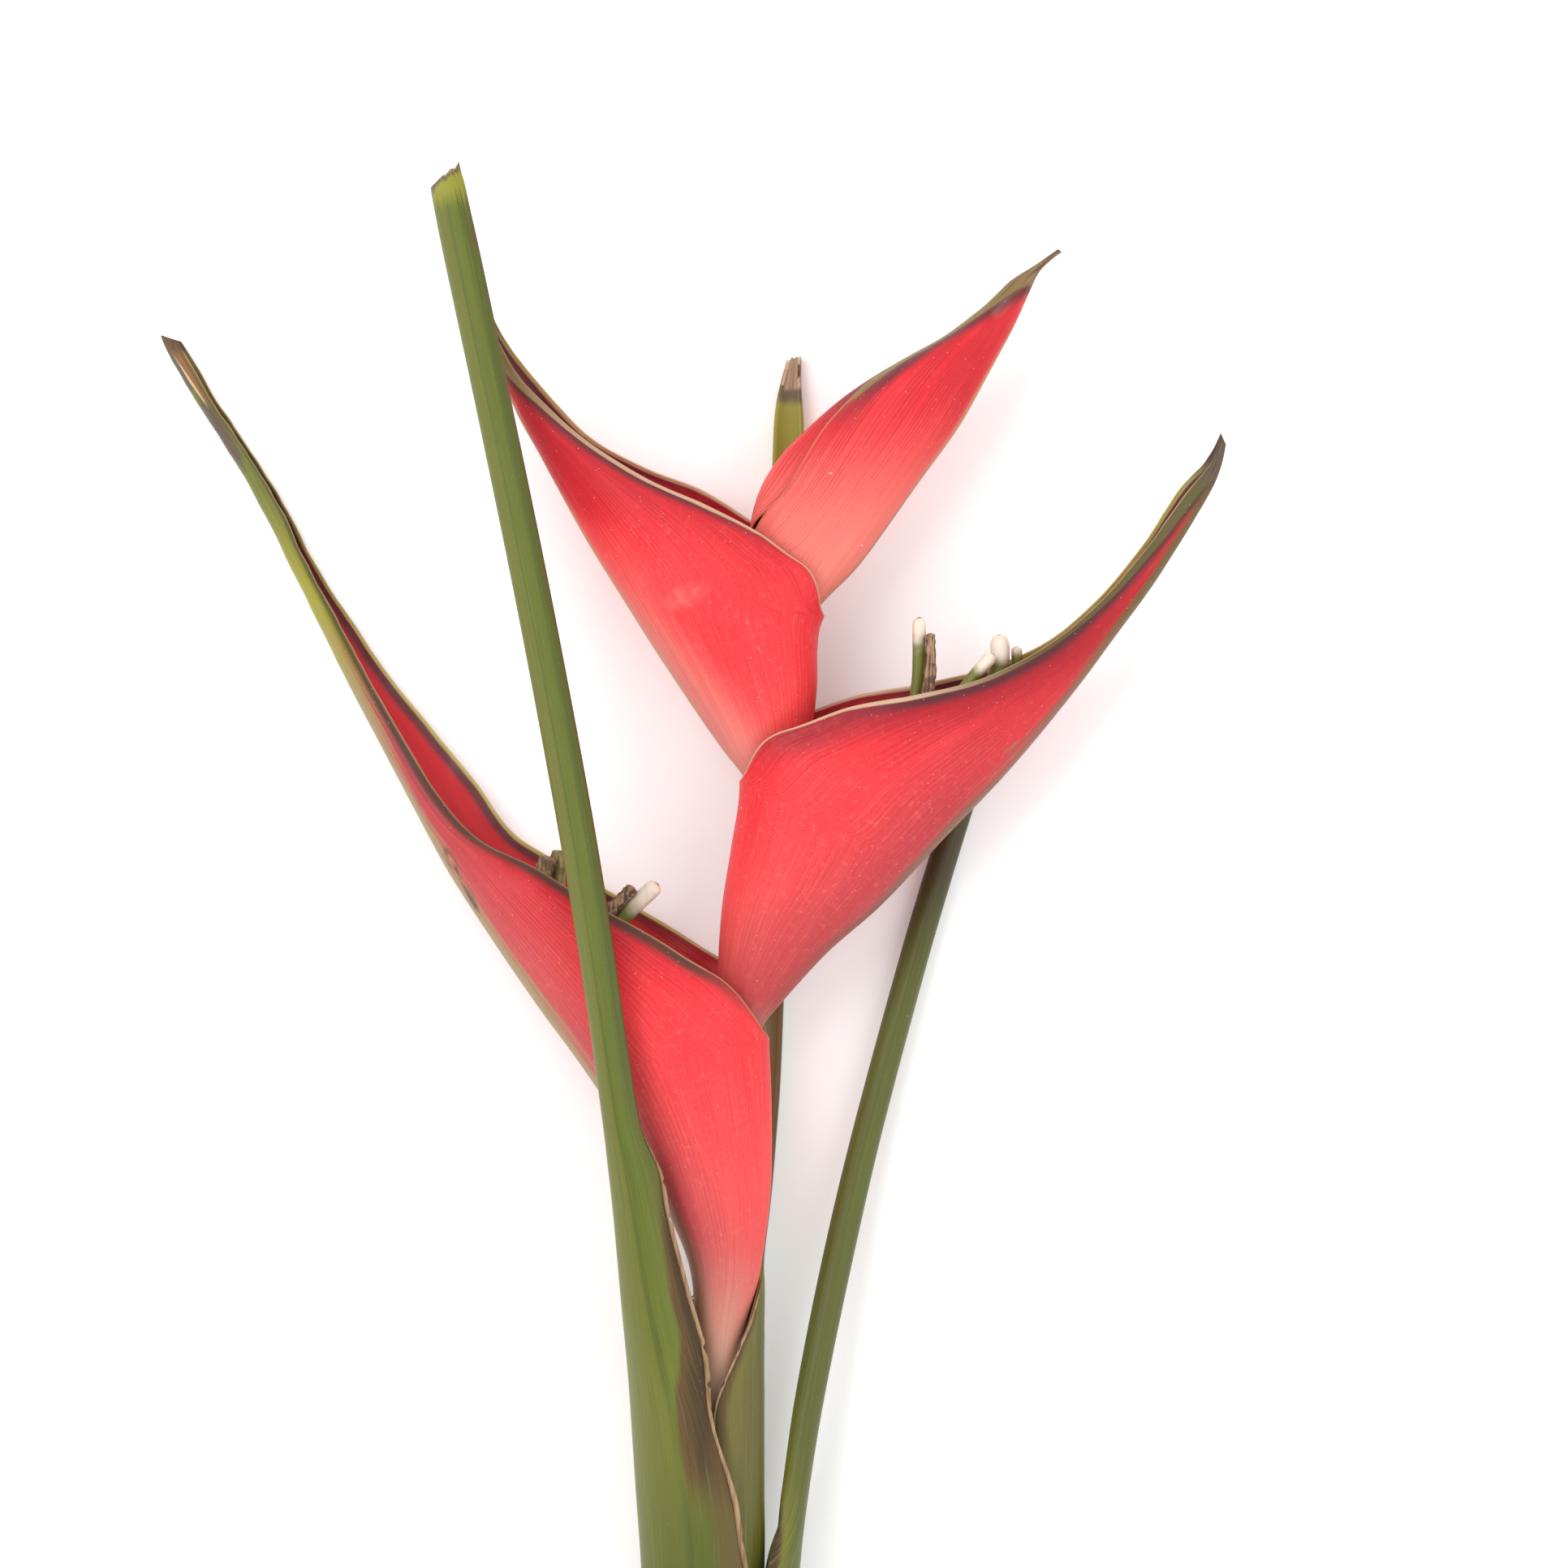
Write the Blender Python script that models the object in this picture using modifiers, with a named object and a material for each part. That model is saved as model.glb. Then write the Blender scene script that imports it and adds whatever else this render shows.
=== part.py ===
"""A cut stem of lobster claw heliconia, laid down on a surface.

The stem lies along Y with its cut end at -Y, the bracts spread to both sides
along X, and Z is the height above the surface. The tables below are in
millimetres. Each bract is a boat-shaped blade whose foot closes to a tube
round the flower stalk. Each leaf stalk is a loft of level cuts across the stem,
which opens out into a sheath near the cut end.
"""

import math

import bmesh
import bpy
from mathutils import Vector

MM = 0.001

STEM_CUT_Y = -245.5
WELD = 0.0001

BRACT_WALL = 1.2
BRACT_TIP_WALL_SHARE = 0.55
BRACT_SIDE_STEPS = 6
MARGIN_ROLL = 2.6

STALK_SIDES_RESOLUTION = 2
RING_OUTER_POINTS = 15
RING_INNER_POINTS = 9

# One bract station is the keel point, the near and the far margin point, the
# height of the middle, half the thickness, and the angle from the keel to the
# margins. At 180 degrees the two margins meet and the station is a closed tube.
BRACT_1_CROTCH = 5
BRACT_1 = [
    ((0.9, -97.0), (12.8, -98.3), (12.8, -98.3), 23.3, 5.9, 180),
    ((0.7, -73.5), (14.1, -74.6), (14.1, -74.6), 24.0, 6.5, 180),
    ((-0.4, -54.8), (18.9, -53.7), (18.9, -53.7), 24.6, 9.3, 180),
    ((-7.0, -38.3), (21.4, -33.9), (21.4, -33.9), 25.1, 13.0, 180),
    ((-17.6, -17.8), (21.7, -11.9), (21.7, -11.9), 25.7, 16.3, 180),
    ((-28.6, -1.3), (21.1, 8.0), (21.1, 8.0), 26.4, 17.6, 180),
    ((-41.6, 16.7), (6.4, 25.5), (10.1, 28.2), 26.0, 17.6, 125),
    ((-53.9, 34.3), (-10.6, 35.9), (-9.0, 40.0), 25.0, 17.3, 115),
    ((-64.2, 50.2), (-26.8, 44.7), (-25.1, 49.3), 23.5, 16.3, 112),
    ((-70.2, 60.7), (-42.2, 54.3), (-39.6, 57.6), 21.8, 14.5, 110),
    ((-75.0, 69.5), (-57.6, 62.0), (-49.7, 64.7), 19.8, 12.5, 108),
    ((-79.6, 78.3), (-68.6, 73.9), (-59.2, 77.9), 17.3, 10.5, 105),
    ((-86.7, 91.5), (-79.0, 90.9), (-70.4, 91.5), 14.2, 8.6, 105),
    ((-95.9, 109.1), (-89.5, 109.1), (-84.5, 109.1), 10.6, 6.6, 115),
    ((-107.1, 131.1), (-101.9, 131.3), (-99.4, 131.3), 7.6, 5.0, 140),
    ((-120.3, 157.5), (-115.3, 158.0), (-114.2, 158.2), 5.0, 4.1, 150),
    ((-134.0, 179.5), (-129.8, 179.7), (-128.9, 180.0), 3.5, 3.6, 140),
    ((-142.3, 193.2), (-137.7, 193.4), (-136.8, 193.6), 3.2, 3.0, 110),
    ((-145.0, 199.3), (-140.1, 197.6), (-139.5, 197.8), 3.0, 2.6, 100),
]

BRACT_2_CROTCH = 6
BRACT_2 = [
    ((17.6, -4.8), (6.8, -3.5), (6.8, -3.5), 26.6, 5.4, 180),
    ((17.8, 5.2), (6.9, 8.0), (6.9, 8.0), 26.6, 5.6, 180),
    ((19.5, 11.4), (6.9, 16.5), (6.9, 16.5), 26.7, 6.1, 180),
    ((24.4, 17.6), (7.0, 26.2), (7.0, 26.2), 26.9, 7.4, 180),
    ((36.5, 31.0), (8.1, 42.7), (8.1, 42.7), 27.0, 11.5, 180),
    ((50.4, 43.1), (10.6, 59.2), (10.6, 59.2), 27.0, 14.5, 180),
    ((61.6, 54.6), (13.0, 77.9), (13.0, 77.9), 27.0, 16.3, 180),
    ((73.7, 67.5), (23.8, 91.1), (24.2, 94.2), 27.0, 17.0, 125),
    ((84.5, 79.0), (43.1, 97.9), (44.4, 101.0), 27.0, 17.0, 116),
    ((95.3, 91.5), (61.2, 101.2), (62.0, 104.3), 27.0, 15.3, 112),
    ((105.8, 104.7), (79.9, 106.0), (79.9, 108.5), 26.5, 12.0, 110),
    ((115.7, 117.9), (97.5, 115.3), (96.8, 115.9), 26.0, 8.5, 112),
    ((125.2, 131.1), (110.9, 126.5), (110.4, 127.4), 25.5, 6.0, 120),
    ((133.8, 144.3), (123.2, 140.8), (121.9, 141.2), 25.0, 4.4, 125),
    ((141.0, 156.4), (134.2, 156.0), (132.7, 157.3), 24.5, 3.1, 125),
    ((145.0, 168.1), (143.0, 170.7), (143.2, 172.3), 24.0, 1.9, 110),
]

BRACT_3_CROTCH = 5
BRACT_3 = [
    ((15.6, 67.3), (26.2, 67.8), (26.2, 67.8), 27.0, 5.3, 180),
    ((15.2, 76.6), (29.0, 78.3), (29.0, 78.3), 27.0, 6.3, 180),
    ((7.9, 86.9), (32.3, 90.9), (32.3, 90.9), 27.0, 8.4, 180),
    ((-1.1, 99.9), (33.9, 103.6), (33.9, 103.6), 27.0, 11.8, 180),
    ((-10.1, 113.5), (34.1, 114.6), (34.1, 114.6), 27.0, 14.0, 180),
    ((-18.5, 126.7), (36.1, 122.6), (36.1, 122.6), 27.0, 15.0, 180),
    ((-25.1, 137.3), (30.4, 136.4), (29.3, 139.9), 27.0, 15.0, 125),
    ((-31.5, 148.1), (18.3, 145.0), (16.1, 148.7), 27.0, 14.2, 115),
    ((-37.0, 158.2), (4.0, 152.5), (3.1, 156.9), 27.0, 12.6, 112),
    ((-41.8, 167.2), (-11.4, 159.3), (-12.5, 163.0), 27.0, 10.5, 112),
    ((-46.6, 175.8), (-27.3, 169.2), (-27.7, 171.4), 27.0, 8.2, 115),
    ((-51.0, 185.7), (-39.4, 179.7), (-40.5, 184.8), 27.0, 6.0, 115),
    ((-54.8, 196.0), (-48.4, 189.9), (-49.9, 196.5), 27.0, 4.0, 115),
    ((-58.3, 206.4), (-56.8, 206.8), (-56.3, 208.6), 27.0, 1.9, 110),
]

# The top bract is still rolled: its stations give the keel, the far outline,
# the height, half the thickness, and one angle each for the near and the far
# margin. Where they add up to over 360, the near margin lies over the far one.
BRACT_4_CROTCH = 4
BRACT_4 = [
    ((30.0, 105.2), (20.4, 106.5), 27.0, 4.8, 180, 180),
    ((30.8, 115.9), (19.0, 118.5), 27.0, 5.3, 180, 180),
    ((32.0, 121.5), (18.0, 125.5), 27.0, 5.3, 180, 180),
    ((36.7, 127.4), (17.0, 131.5), 27.0, 6.0, 180, 180),
    ((45.3, 136.0), (15.6, 143.0), 27.0, 8.2, 180, 180),
    ((54.6, 148.7), (18.0, 155.3), 27.0, 10.3, 136, 232),
    ((64.0, 161.9), (23.1, 164.6), 27.0, 11.6, 132, 240),
    ((73.3, 175.1), (30.8, 172.9), 27.0, 11.4, 141, 236),
    ((80.7, 188.3), (41.8, 182.4), 27.0, 10.3, 151, 222),
    ((86.9, 199.8), (54.6, 190.7), 27.0, 8.8, 160, 205),
    ((90.2, 207.2), (67.8, 198.2), 27.0, 7.0, 165, 170),
    ((92.4, 212.3), (78.3, 206.1), 27.0, 5.0, 155, 155),
    ((93.9, 215.4), (86.0, 213.4), 27.0, 3.3, 145, 145),
    ((96.6, 218.2), (92.4, 217.6), 27.0, 2.1, 130, 130),
    ((100.5, 221.1), (98.8, 222.6), 27.0, 1.5, 115, 115),
]

# The flower stalk: x, y, z and radius, from the cut end to the top bract.
FLOWER_STALK = [
    (7.7, STEM_CUT_Y, 16.0, 6.0),
    (7.0, -183.5, 17.6, 5.8),
    (6.4, -135.5, 19.5, 5.4),
    (6.6, -110.0, 22.2, 4.6),
    (6.9, -97.5, 23.3, 4.35),
    (8.2, -70.0, 24.3, 4.3),
    (10.6, -36.0, 25.6, 4.2),
    (12.2, -4.0, 26.6, 3.8),
    (12.8, 8.0, 26.6, 3.8),
    (17.0, 38.0, 27.0, 3.9),
    (20.9, 67.6, 27.0, 3.8),
    (23.0, 88.0, 27.0, 3.5),
    (25.2, 105.8, 27.0, 3.3),
    (25.8, 117.0, 27.0, 2.6),
]

# One level cut of a leaf: y, the middle of its outer oval in x and z, the two
# half-widths of that oval, the angles at which the leaf starts and ends, the
# angle of its back, the thickness at the back and at the margins, the share of
# a flat inner face, and how far that face is hollowed.
LEAF_LEFT = [
    (STEM_CUT_Y, 7.7, 16.0, 16.2, 16.2, 30, 330, 180, 3.1, 1.2, 0.0, 0.0),
    (-183.5, 7.0, 17.6, 18.3, 15.9, 40, 315, 180, 5.0, 1.2, 0.0, 0.0),
    (-135.5, 6.4, 19.5, 20.2, 16.8, 66, 290, 180, 6.3, 1.2, 0.0, 0.0),
    (-115.3, 4.4, 21.0, 19.6, 16.5, 70, 285, 180, 7.5, 1.2, 0.0, 0.0),
    (-92.2, -0.4, 23.0, 16.3, 15.5, 71, 280, 180, 8.6, 1.2, 0.1, 2.0),
    (-73.5, -5.7, 27.0, 12.5, 12.5, 48, 278, 180, 8.0, 1.0, 0.8, 6.0),
    (-62.5, -8.4, 30.5, 10.8, 10.0, 45, 283, 180, 8.0, 1.0, 0.9, 4.5),
    (-40.5, -12.5, 36.5, 8.6, 8.0, 42, 288, 175, 7.0, 1.0, 1.0, 2.2),
    (-27.3, -15.0, 40.4, 7.5, 6.8, 32, 290, 170, 6.0, 1.0, 1.0, 2.2),
    (-15.6, -18.0, 44.4, 5.8, 5.6, 38, 288, 165, 5.0, 1.0, 1.0, 1.2),
    (7.9, -21.6, 49.3, 5.3, 4.9, 35, 285, 160, 5.0, 1.0, 1.0, 1.2),
    (34.3, -25.4, 50.8, 5.4, 4.9, 35, 280, 160, 5.0, 1.0, 1.0, 1.2),
    (69.5, -31.2, 50.2, 5.5, 4.9, 35, 280, 160, 5.0, 1.0, 1.0, 1.2),
    (122.3, -41.1, 48.0, 5.5, 4.9, 35, 280, 160, 5.0, 1.0, 1.0, 1.2),
    (175.1, -51.9, 46.0, 5.5, 4.9, 35, 280, 160, 5.0, 1.0, 1.0, 1.2),
    (227.9, -63.1, 44.3, 5.5, 4.9, 35, 280, 160, 5.0, 1.0, 1.0, 1.2),
    (241.6, -66.2, 43.9, 4.2, 4.4, 35, 280, 160, 5.0, 1.0, 1.0, 1.0),
]
LEAF_LEFT_TOP_SLOPE = 0.9

LEAF_BACK = [
    (STEM_CUT_Y, 7.7, 16.0, 9.6, 9.6, 98, 442, 270, 3.2, 3.0, 0.0, 0.0),
    (-183.5, 7.0, 17.6, 11.3, 11.0, 98, 442, 270, 4.2, 4.0, 0.0, 0.0),
    (-135.5, 6.4, 19.5, 13.4, 12.5, 98, 442, 270, 5.0, 4.0, 0.0, 0.0),
    (-115.3, 6.4, 21.0, 13.4, 12.2, 98, 446, 270, 5.0, 3.0, 0.0, 0.0),
    (-95.0, 6.4, 22.3, 13.4, 11.6, 100, 452, 270, 4.5, 1.2, 0.0, 0.0),
    (-86.0, 6.4, 22.3, 13.4, 11.6, 120, 441, 270, 4.5, 1.0, 0.0, 0.0),
    (-75.2, 6.9, 21.8, 12.9, 11.6, 135, 421, 270, 4.5, 1.0, 0.0, 0.0),
    (-69.5, 7.8, 21.3, 12.0, 11.4, 160, 408, 270, 4.5, 1.0, 0.0, 0.0),
    (-60.0, 10.6, 19.6, 9.3, 10.6, 205, 394, 270, 4.6, 0.8, 0.0, 0.0),
    (-51.3, 13.2, 16.2, 6.6, 9.6, 200, 380, 270, 5.5, 0.9, 0.5, 2.0),
    (-36.0, 15.4, 9.5, 6.2, 6.5, 165, 380, 270, 5.0, 1.0, 1.0, 1.5),
    (-18.5, 18.0, 6.4, 5.1, 5.3, 160, 382, 270, 5.0, 1.0, 1.0, 1.0),
    (3.5, 20.0, 4.6, 4.5, 5.0, 158, 382, 270, 5.0, 1.0, 1.0, 1.0),
    (60.0, 22.0, 4.6, 4.4, 5.0, 158, 382, 270, 5.0, 1.0, 1.0, 1.0),
    (100.0, 23.4, 4.6, 4.4, 5.0, 158, 382, 270, 5.0, 1.0, 1.0, 1.0),
    (157.5, 26.0, 4.5, 4.4, 4.9, 158, 382, 270, 5.0, 1.0, 1.0, 1.0),
    (175.0, 26.4, 4.3, 4.1, 4.6, 158, 382, 270, 5.0, 1.0, 1.0, 0.8),
    (184.0, 26.7, 3.6, 3.2, 3.7, 155, 385, 270, 4.0, 0.9, 1.0, 0.4),
    (192.7, 27.7, 2.4, 2.1, 2.5, 150, 390, 270, 3.0, 0.8, 1.0, 0.0),
]
LEAF_BACK_TOP_SLOPE = 0.6

LEAF_RIGHT = [
    (STEM_CUT_Y, 7.7, 16.0, 12.6, 12.6, 245, 475, 360, 2.6, 1.0, 0.0, 0.0),
    (-183.5, 7.0, 17.6, 18.3, 13.0, 260, 460, 360, 6.6, 1.0, 0.0, 0.0),
    (-159.3, 6.7, 18.0, 21.0, 13.6, 278, 442, 360, 8.3, 1.0, 0.0, 0.0),
    (-135.5, 6.4, 19.5, 23.1, 13.8, 310, 410, 360, 9.4, 1.0, 0.0, 0.0),
    (-115.3, 27.5, 17.8, 4.4, 6.0, 255, 495, 375, 4.0, 1.0, 1.0, 0.8),
    (-88.9, 32.0, 15.0, 4.3, 4.8, 272, 512, 392, 4.0, 1.0, 1.0, 0.8),
    (-53.7, 39.3, 11.0, 4.3, 4.5, 285, 525, 405, 4.0, 1.0, 1.0, 0.8),
    (-18.5, 47.5, 7.6, 4.2, 4.4, 285, 525, 405, 4.0, 1.0, 1.0, 0.8),
    (25.5, 59.3, 4.9, 4.1, 4.3, 285, 525, 405, 4.0, 1.0, 1.0, 0.8),
    (51.9, 67.0, 4.2, 4.1, 4.3, 285, 525, 405, 4.0, 1.0, 1.0, 0.8),
    (73.9, 73.9, 4.2, 4.0, 4.3, 285, 525, 405, 4.0, 1.0, 1.0, 0.8),
    (97.0, 81.6, 4.1, 3.8, 4.2, 285, 525, 405, 4.0, 1.0, 1.0, 0.8),
]
LEAF_RIGHT_TOP_SLOPE = 0.3

# A floret: its widest radius, and its route from the foot to its blunt tip.
FRESH_FLORET = 1.7
DRIED_FLORET = 1.5
FULL_FLORET = 2.4
FLORET_NARROW_FOOT = 0.65
FLORET_ROUND_TIP = 0.14
FLORET_PLACES = (0.0, 0.25, 0.5, 0.7, 0.86, 0.93, 0.97, 1.0)

FLORETS_BRACT_1_FOOT = (-17.2, -6.6, 26.0)
FLORETS_BRACT_1_FOOT_RADIUS = 4.4
FLORETS_BRACT_1 = [
    (FULL_FLORET, (-20.0, 10.0, 26.0), (-24.5, 30.0, 26.0), (-18.6, 40.6, 27.0), (-9.0, 50.0, 28.0)),
    (DRIED_FLORET, (-23.0, 12.0, 28.0), (-27.5, 32.0, 28.5), (-22.0, 42.5, 29.0), (-15.4, 49.0, 29.5)),
    (FULL_FLORET, (-28.0, 10.0, 24.5), (-34.0, 34.0, 24.0), (-36.5, 50.0, 25.0), (-35.4, 59.0, 26.0)),
    (FULL_FLORET, (-30.5, 12.0, 27.5), (-38.0, 34.0, 28.0), (-40.5, 49.0, 29.0), (-38.8, 57.5, 30.0)),
]

FLORETS_BRACT_2_FOOT = (50.4, 51.9, 27.0)
FLORETS_BRACT_2_FOOT_RADIUS = 4.4
FLORETS_BRACT_2_SECOND_FOOT = (62.4, 63.6, 27.0)
FLORETS_BRACT_2 = [
    (FRESH_FLORET, (54.0, 72.0, 25.5), (59.0, 92.0, 25.0), (61.5, 106.0, 25.5), (61.8, 122.4, 26.0)),
    (DRIED_FLORET, (56.0, 72.0, 28.5), (61.5, 92.0, 29.0), (64.6, 106.0, 29.0), (64.7, 118.0, 29.0)),
    (FULL_FLORET, (68.0, 80.0, 28.0), (78.0, 97.0, 28.0), (83.4, 108.0, 28.0), (83.4, 117.6, 28.0)),
    (FRESH_FLORET, (65.0, 82.0, 30.5), (71.0, 98.0, 32.5), (76.5, 106.0, 33.0), (81.8, 112.2, 33.0)),
    (DRIED_FLORET, (70.0, 78.0, 25.0), (81.0, 94.0, 24.5), (87.4, 106.0, 24.5), (88.2, 114.4, 24.5)),
]

# Colour, roughness and metallic value of each finish.
RED_BRACT = ("bract_red", (0.85, 0.08, 0.09), 0.38, 0.0)
GREEN_LEAF_STALK = ("leaf_stalk_green", (0.17, 0.21, 0.05), 0.45, 0.0)
PALE_FLOWER_STALK = ("flower_stalk_olive", (0.50, 0.38, 0.22), 0.50, 0.0)
GREEN_FLORET = ("floret_cream_green", (0.52, 0.50, 0.28), 0.45, 0.0)


def clear_scene():
    """Remove every object that the file opened with."""
    for old in list(bpy.data.objects):
        bpy.data.objects.remove(old, do_unlink=True)


def make_collection(name):
    """Make a collection in the scene."""
    collection = bpy.data.collections.new(name)
    bpy.context.scene.collection.children.link(collection)
    return collection


def make_material(finish):
    """Make one Principled material from a finish, or return the one there is."""
    name, colour, roughness, metallic = finish
    material = bpy.data.materials.get(name)
    if material is None:
        material = bpy.data.materials.new(name)
        material.use_nodes = True
        shader = material.node_tree.nodes["Principled BSDF"]
        shader.inputs["Base Color"].default_value = (*colour, 1.0)
        shader.inputs["Roughness"].default_value = roughness
        shader.inputs["Metallic"].default_value = metallic
    return material


def flatten(values):
    """Turn a nested station into one flat list of numbers."""
    flat = []
    for value in values:
        if isinstance(value, (tuple, list)):
            flat.extend(flatten(value))
        else:
            flat.append(float(value))
    return flat


def blend_rows(rows, place):
    """Read a table of rows at a place between them, on a smooth curve."""
    last = len(rows) - 1
    low = min(int(place), last - 1)
    share = place - low
    before = rows[max(low - 1, 0)]
    start = rows[low]
    end = rows[low + 1]
    after = rows[min(low + 2, last)]
    result = []
    for p0, p1, p2, p3 in zip(before, start, end, after):
        bend = (2 * p0 - 5 * p1 + 4 * p2 - p3) * share ** 2
        twist = (3 * p1 - p0 - 3 * p2 + p3) * share ** 3
        result.append(0.5 * (2 * p1 + (p2 - p0) * share + bend + twist))
    return result


def bract_places(count, crotch):
    """The places along a bract, closer together where its margins part."""
    places = []
    for station in range(count - 1):
        shares = (0.0, 0.15, 0.4, 0.7) if station == crotch else (0.0, 0.5)
        places.extend(station + share for share in shares)
    places.append(count - 1)
    return places


def rounded_opening(place, crotch, angle_after):
    """The margin angle just past the crotch, where a slanting cut leaves a tube."""
    return 180 - (180 - angle_after) * math.sqrt(place - crotch)


def open_bract_row(stations, crotch, place):
    """One cut across an open bract: keel, near and far margin, height and shape."""
    rows = [flatten(station) for station in stations]
    kx, ky, nx, ny, fx, fy, height, half, angle = blend_rows(rows, place)
    if place <= crotch:
        angle = 180
        nx = fx = (nx + fx) / 2
        ny = fy = (ny + fy) / 2
    elif place < crotch + 1:
        angle = rounded_opening(place, crotch, stations[crotch + 1][5])
    return Vector((kx, ky)), Vector((nx, ny)), Vector((fx, fy)), height, half, angle, angle


def rolled_bract_row(stations, crotch, place):
    """One cut across the rolled bract, with its margins found from the angles."""
    rows = [flatten(station) for station in stations]
    kx, ky, tx, ty, height, half, near_angle, far_angle = blend_rows(rows, place)
    if place <= crotch:
        near_angle = far_angle = 180
    elif place < crotch + 1:
        near_angle = rounded_opening(place, crotch, stations[crotch + 1][4])
    keel = Vector((kx, ky))
    across = Vector((tx, ty)) - keel
    near = keel + across * (1 - math.cos(math.radians(near_angle))) / 2
    far = keel + across * (1 - math.cos(math.radians(far_angle))) / 2
    return keel, near, far, height, half, near_angle, far_angle


def bract_point(row, step, roll):
    """A point on the outer face: steps below 0 are on the near side of the keel."""
    keel, near, far, height, half, near_angle, far_angle = row
    share = abs(step) / BRACT_SIDE_STEPS
    side = 1 if step < 0 else -1
    margin = near if step < 0 else far
    margin_angle = math.radians(near_angle if step < 0 else far_angle)
    angle = margin_angle * share
    across = (1 - math.cos(angle)) / (1 - math.cos(margin_angle))
    place = keel.lerp(margin, across)
    if angle > math.pi:
        half -= roll
    return Vector((place.x, place.y, max(height + side * half * math.sin(angle), 0.0)))


def add_bract(name, collection, stations, crotch, row_at, roll=0.0):
    """Build one bract as an open blade with a wall, its foot closed to a tube."""
    places = bract_places(len(stations), crotch)
    columns = 2 * BRACT_SIDE_STEPS
    blade = bmesh.new()
    bmesh.ops.create_grid(blade, x_segments=columns, y_segments=len(places) - 1, size=1.0)
    blade.verts.ensure_lookup_table()
    tip_verts = []
    for vert in blade.verts:
        column = round((vert.co.x + 1) / 2 * columns)
        line = round((vert.co.y + 1) / 2 * (len(places) - 1))
        row = row_at(stations, crotch, places[line])
        vert.co = bract_point(row, column - BRACT_SIDE_STEPS, roll) * MM
        if line >= len(places) - 5:
            tip_verts.append(vert)
    wall_layer = blade.verts.layers.deform.new()
    for vert in blade.verts:
        vert[wall_layer][0] = 0.0 if vert in tip_verts else 1.0
    bmesh.ops.remove_doubles(blade, verts=blade.verts, dist=WELD * MM)
    bmesh.ops.triangulate(blade, faces=blade.faces)
    bmesh.ops.reverse_faces(blade, faces=blade.faces)
    bract = finish_mesh(name, collection, blade, RED_BRACT)
    group = bract.vertex_groups.new(name="wall")
    wall = bract.modifiers.new("Wall", "SOLIDIFY")
    wall.thickness = BRACT_WALL * MM
    wall.offset = -1
    wall.vertex_group = group.name
    wall.thickness_vertex_group = BRACT_TIP_WALL_SHARE
    return bract


def finish_mesh(name, collection, shape, finish):
    """Turn a bmesh into a smooth shaded object with its own material."""
    mesh = bpy.data.meshes.new(name)
    shape.to_mesh(mesh)
    shape.free()
    mesh.shade_smooth()
    mesh.set_sharp_from_angle(angle=math.radians(50))
    mesh.materials.append(make_material(finish))
    piece = bpy.data.objects.new(name, mesh)
    collection.objects.link(piece)
    return piece


def leaf_ring(cut):
    """The closed outline of one level cut of a leaf, as x and z pairs."""
    y, cx, cz, wide, high, start, end, back, thick, thin, flat, hollow = cut
    middle = Vector((cx, cz))
    outer = []
    shell = []
    for index in range(RING_OUTER_POINTS):
        angle = start + (end - start) * index / (RING_OUTER_POINTS - 1)
        turn = Vector((math.cos(math.radians(angle)), math.sin(math.radians(angle))))
        outer.append(middle + Vector((wide * turn.x, high * turn.y)))
    narrow_span = min(90.0, (end - start) / 2)
    for index in range(RING_INNER_POINTS):
        angle = start + (end - start) * index / (RING_INNER_POINTS - 1)
        turn = Vector((math.cos(math.radians(angle)), math.sin(math.radians(angle))))
        away = min(1.0, abs(angle - back) / narrow_span)
        wall = thin + (thick - thin) * math.cos(math.pi / 2 * away) ** 2
        shell.append(middle + Vector(((wide - wall) * turn.x, (high - wall) * turn.y)))
    back_turn = Vector((math.cos(math.radians(back)), math.sin(math.radians(back))))
    inner = []
    for index, point in enumerate(shell):
        share = index / (RING_INNER_POINTS - 1)
        chord = shell[0].lerp(shell[-1], share)
        chord += back_turn * hollow * (1 - (2 * share - 1) ** 2)
        inner.append(point.lerp(chord, flat))
    return outer + inner[::-1]


def add_leaf(name, collection, cuts, top_slope):
    """Loft a leaf stalk and its sheath through its level cuts, and cap both ends."""
    rings = []
    for cut in cuts:
        ring = []
        for point in leaf_ring(cut):
            ring.extend((point.x, cut[0], point.y))
        rings.append(ring)
    lines = 2 * (len(rings) - 1)
    points = RING_OUTER_POINTS + RING_INNER_POINTS
    loft = bmesh.new()
    bmesh.ops.create_grid(loft, x_segments=points, y_segments=lines, size=1.0)
    for vert in loft.verts:
        column = round((vert.co.x + 1) / 2 * points) % points
        line = round((vert.co.y + 1) / 2 * lines)
        ring = blend_rows(rings, line / 2)
        x, y, z = ring[3 * column:3 * column + 3]
        if line == lines:
            y += top_slope * (x - cuts[-1][1])
        vert.co = Vector((x, y, max(z, 0.0))) * MM
    bmesh.ops.remove_doubles(loft, verts=loft.verts, dist=WELD * MM)
    ends = [edge for edge in loft.edges if edge.is_boundary]
    bmesh.ops.holes_fill(loft, edges=ends, sides=0)
    bmesh.ops.triangulate(loft, faces=loft.faces)
    bmesh.ops.recalc_face_normals(loft, faces=loft.faces)
    return finish_mesh(name, collection, loft, GREEN_LEAF_STALK)


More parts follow.
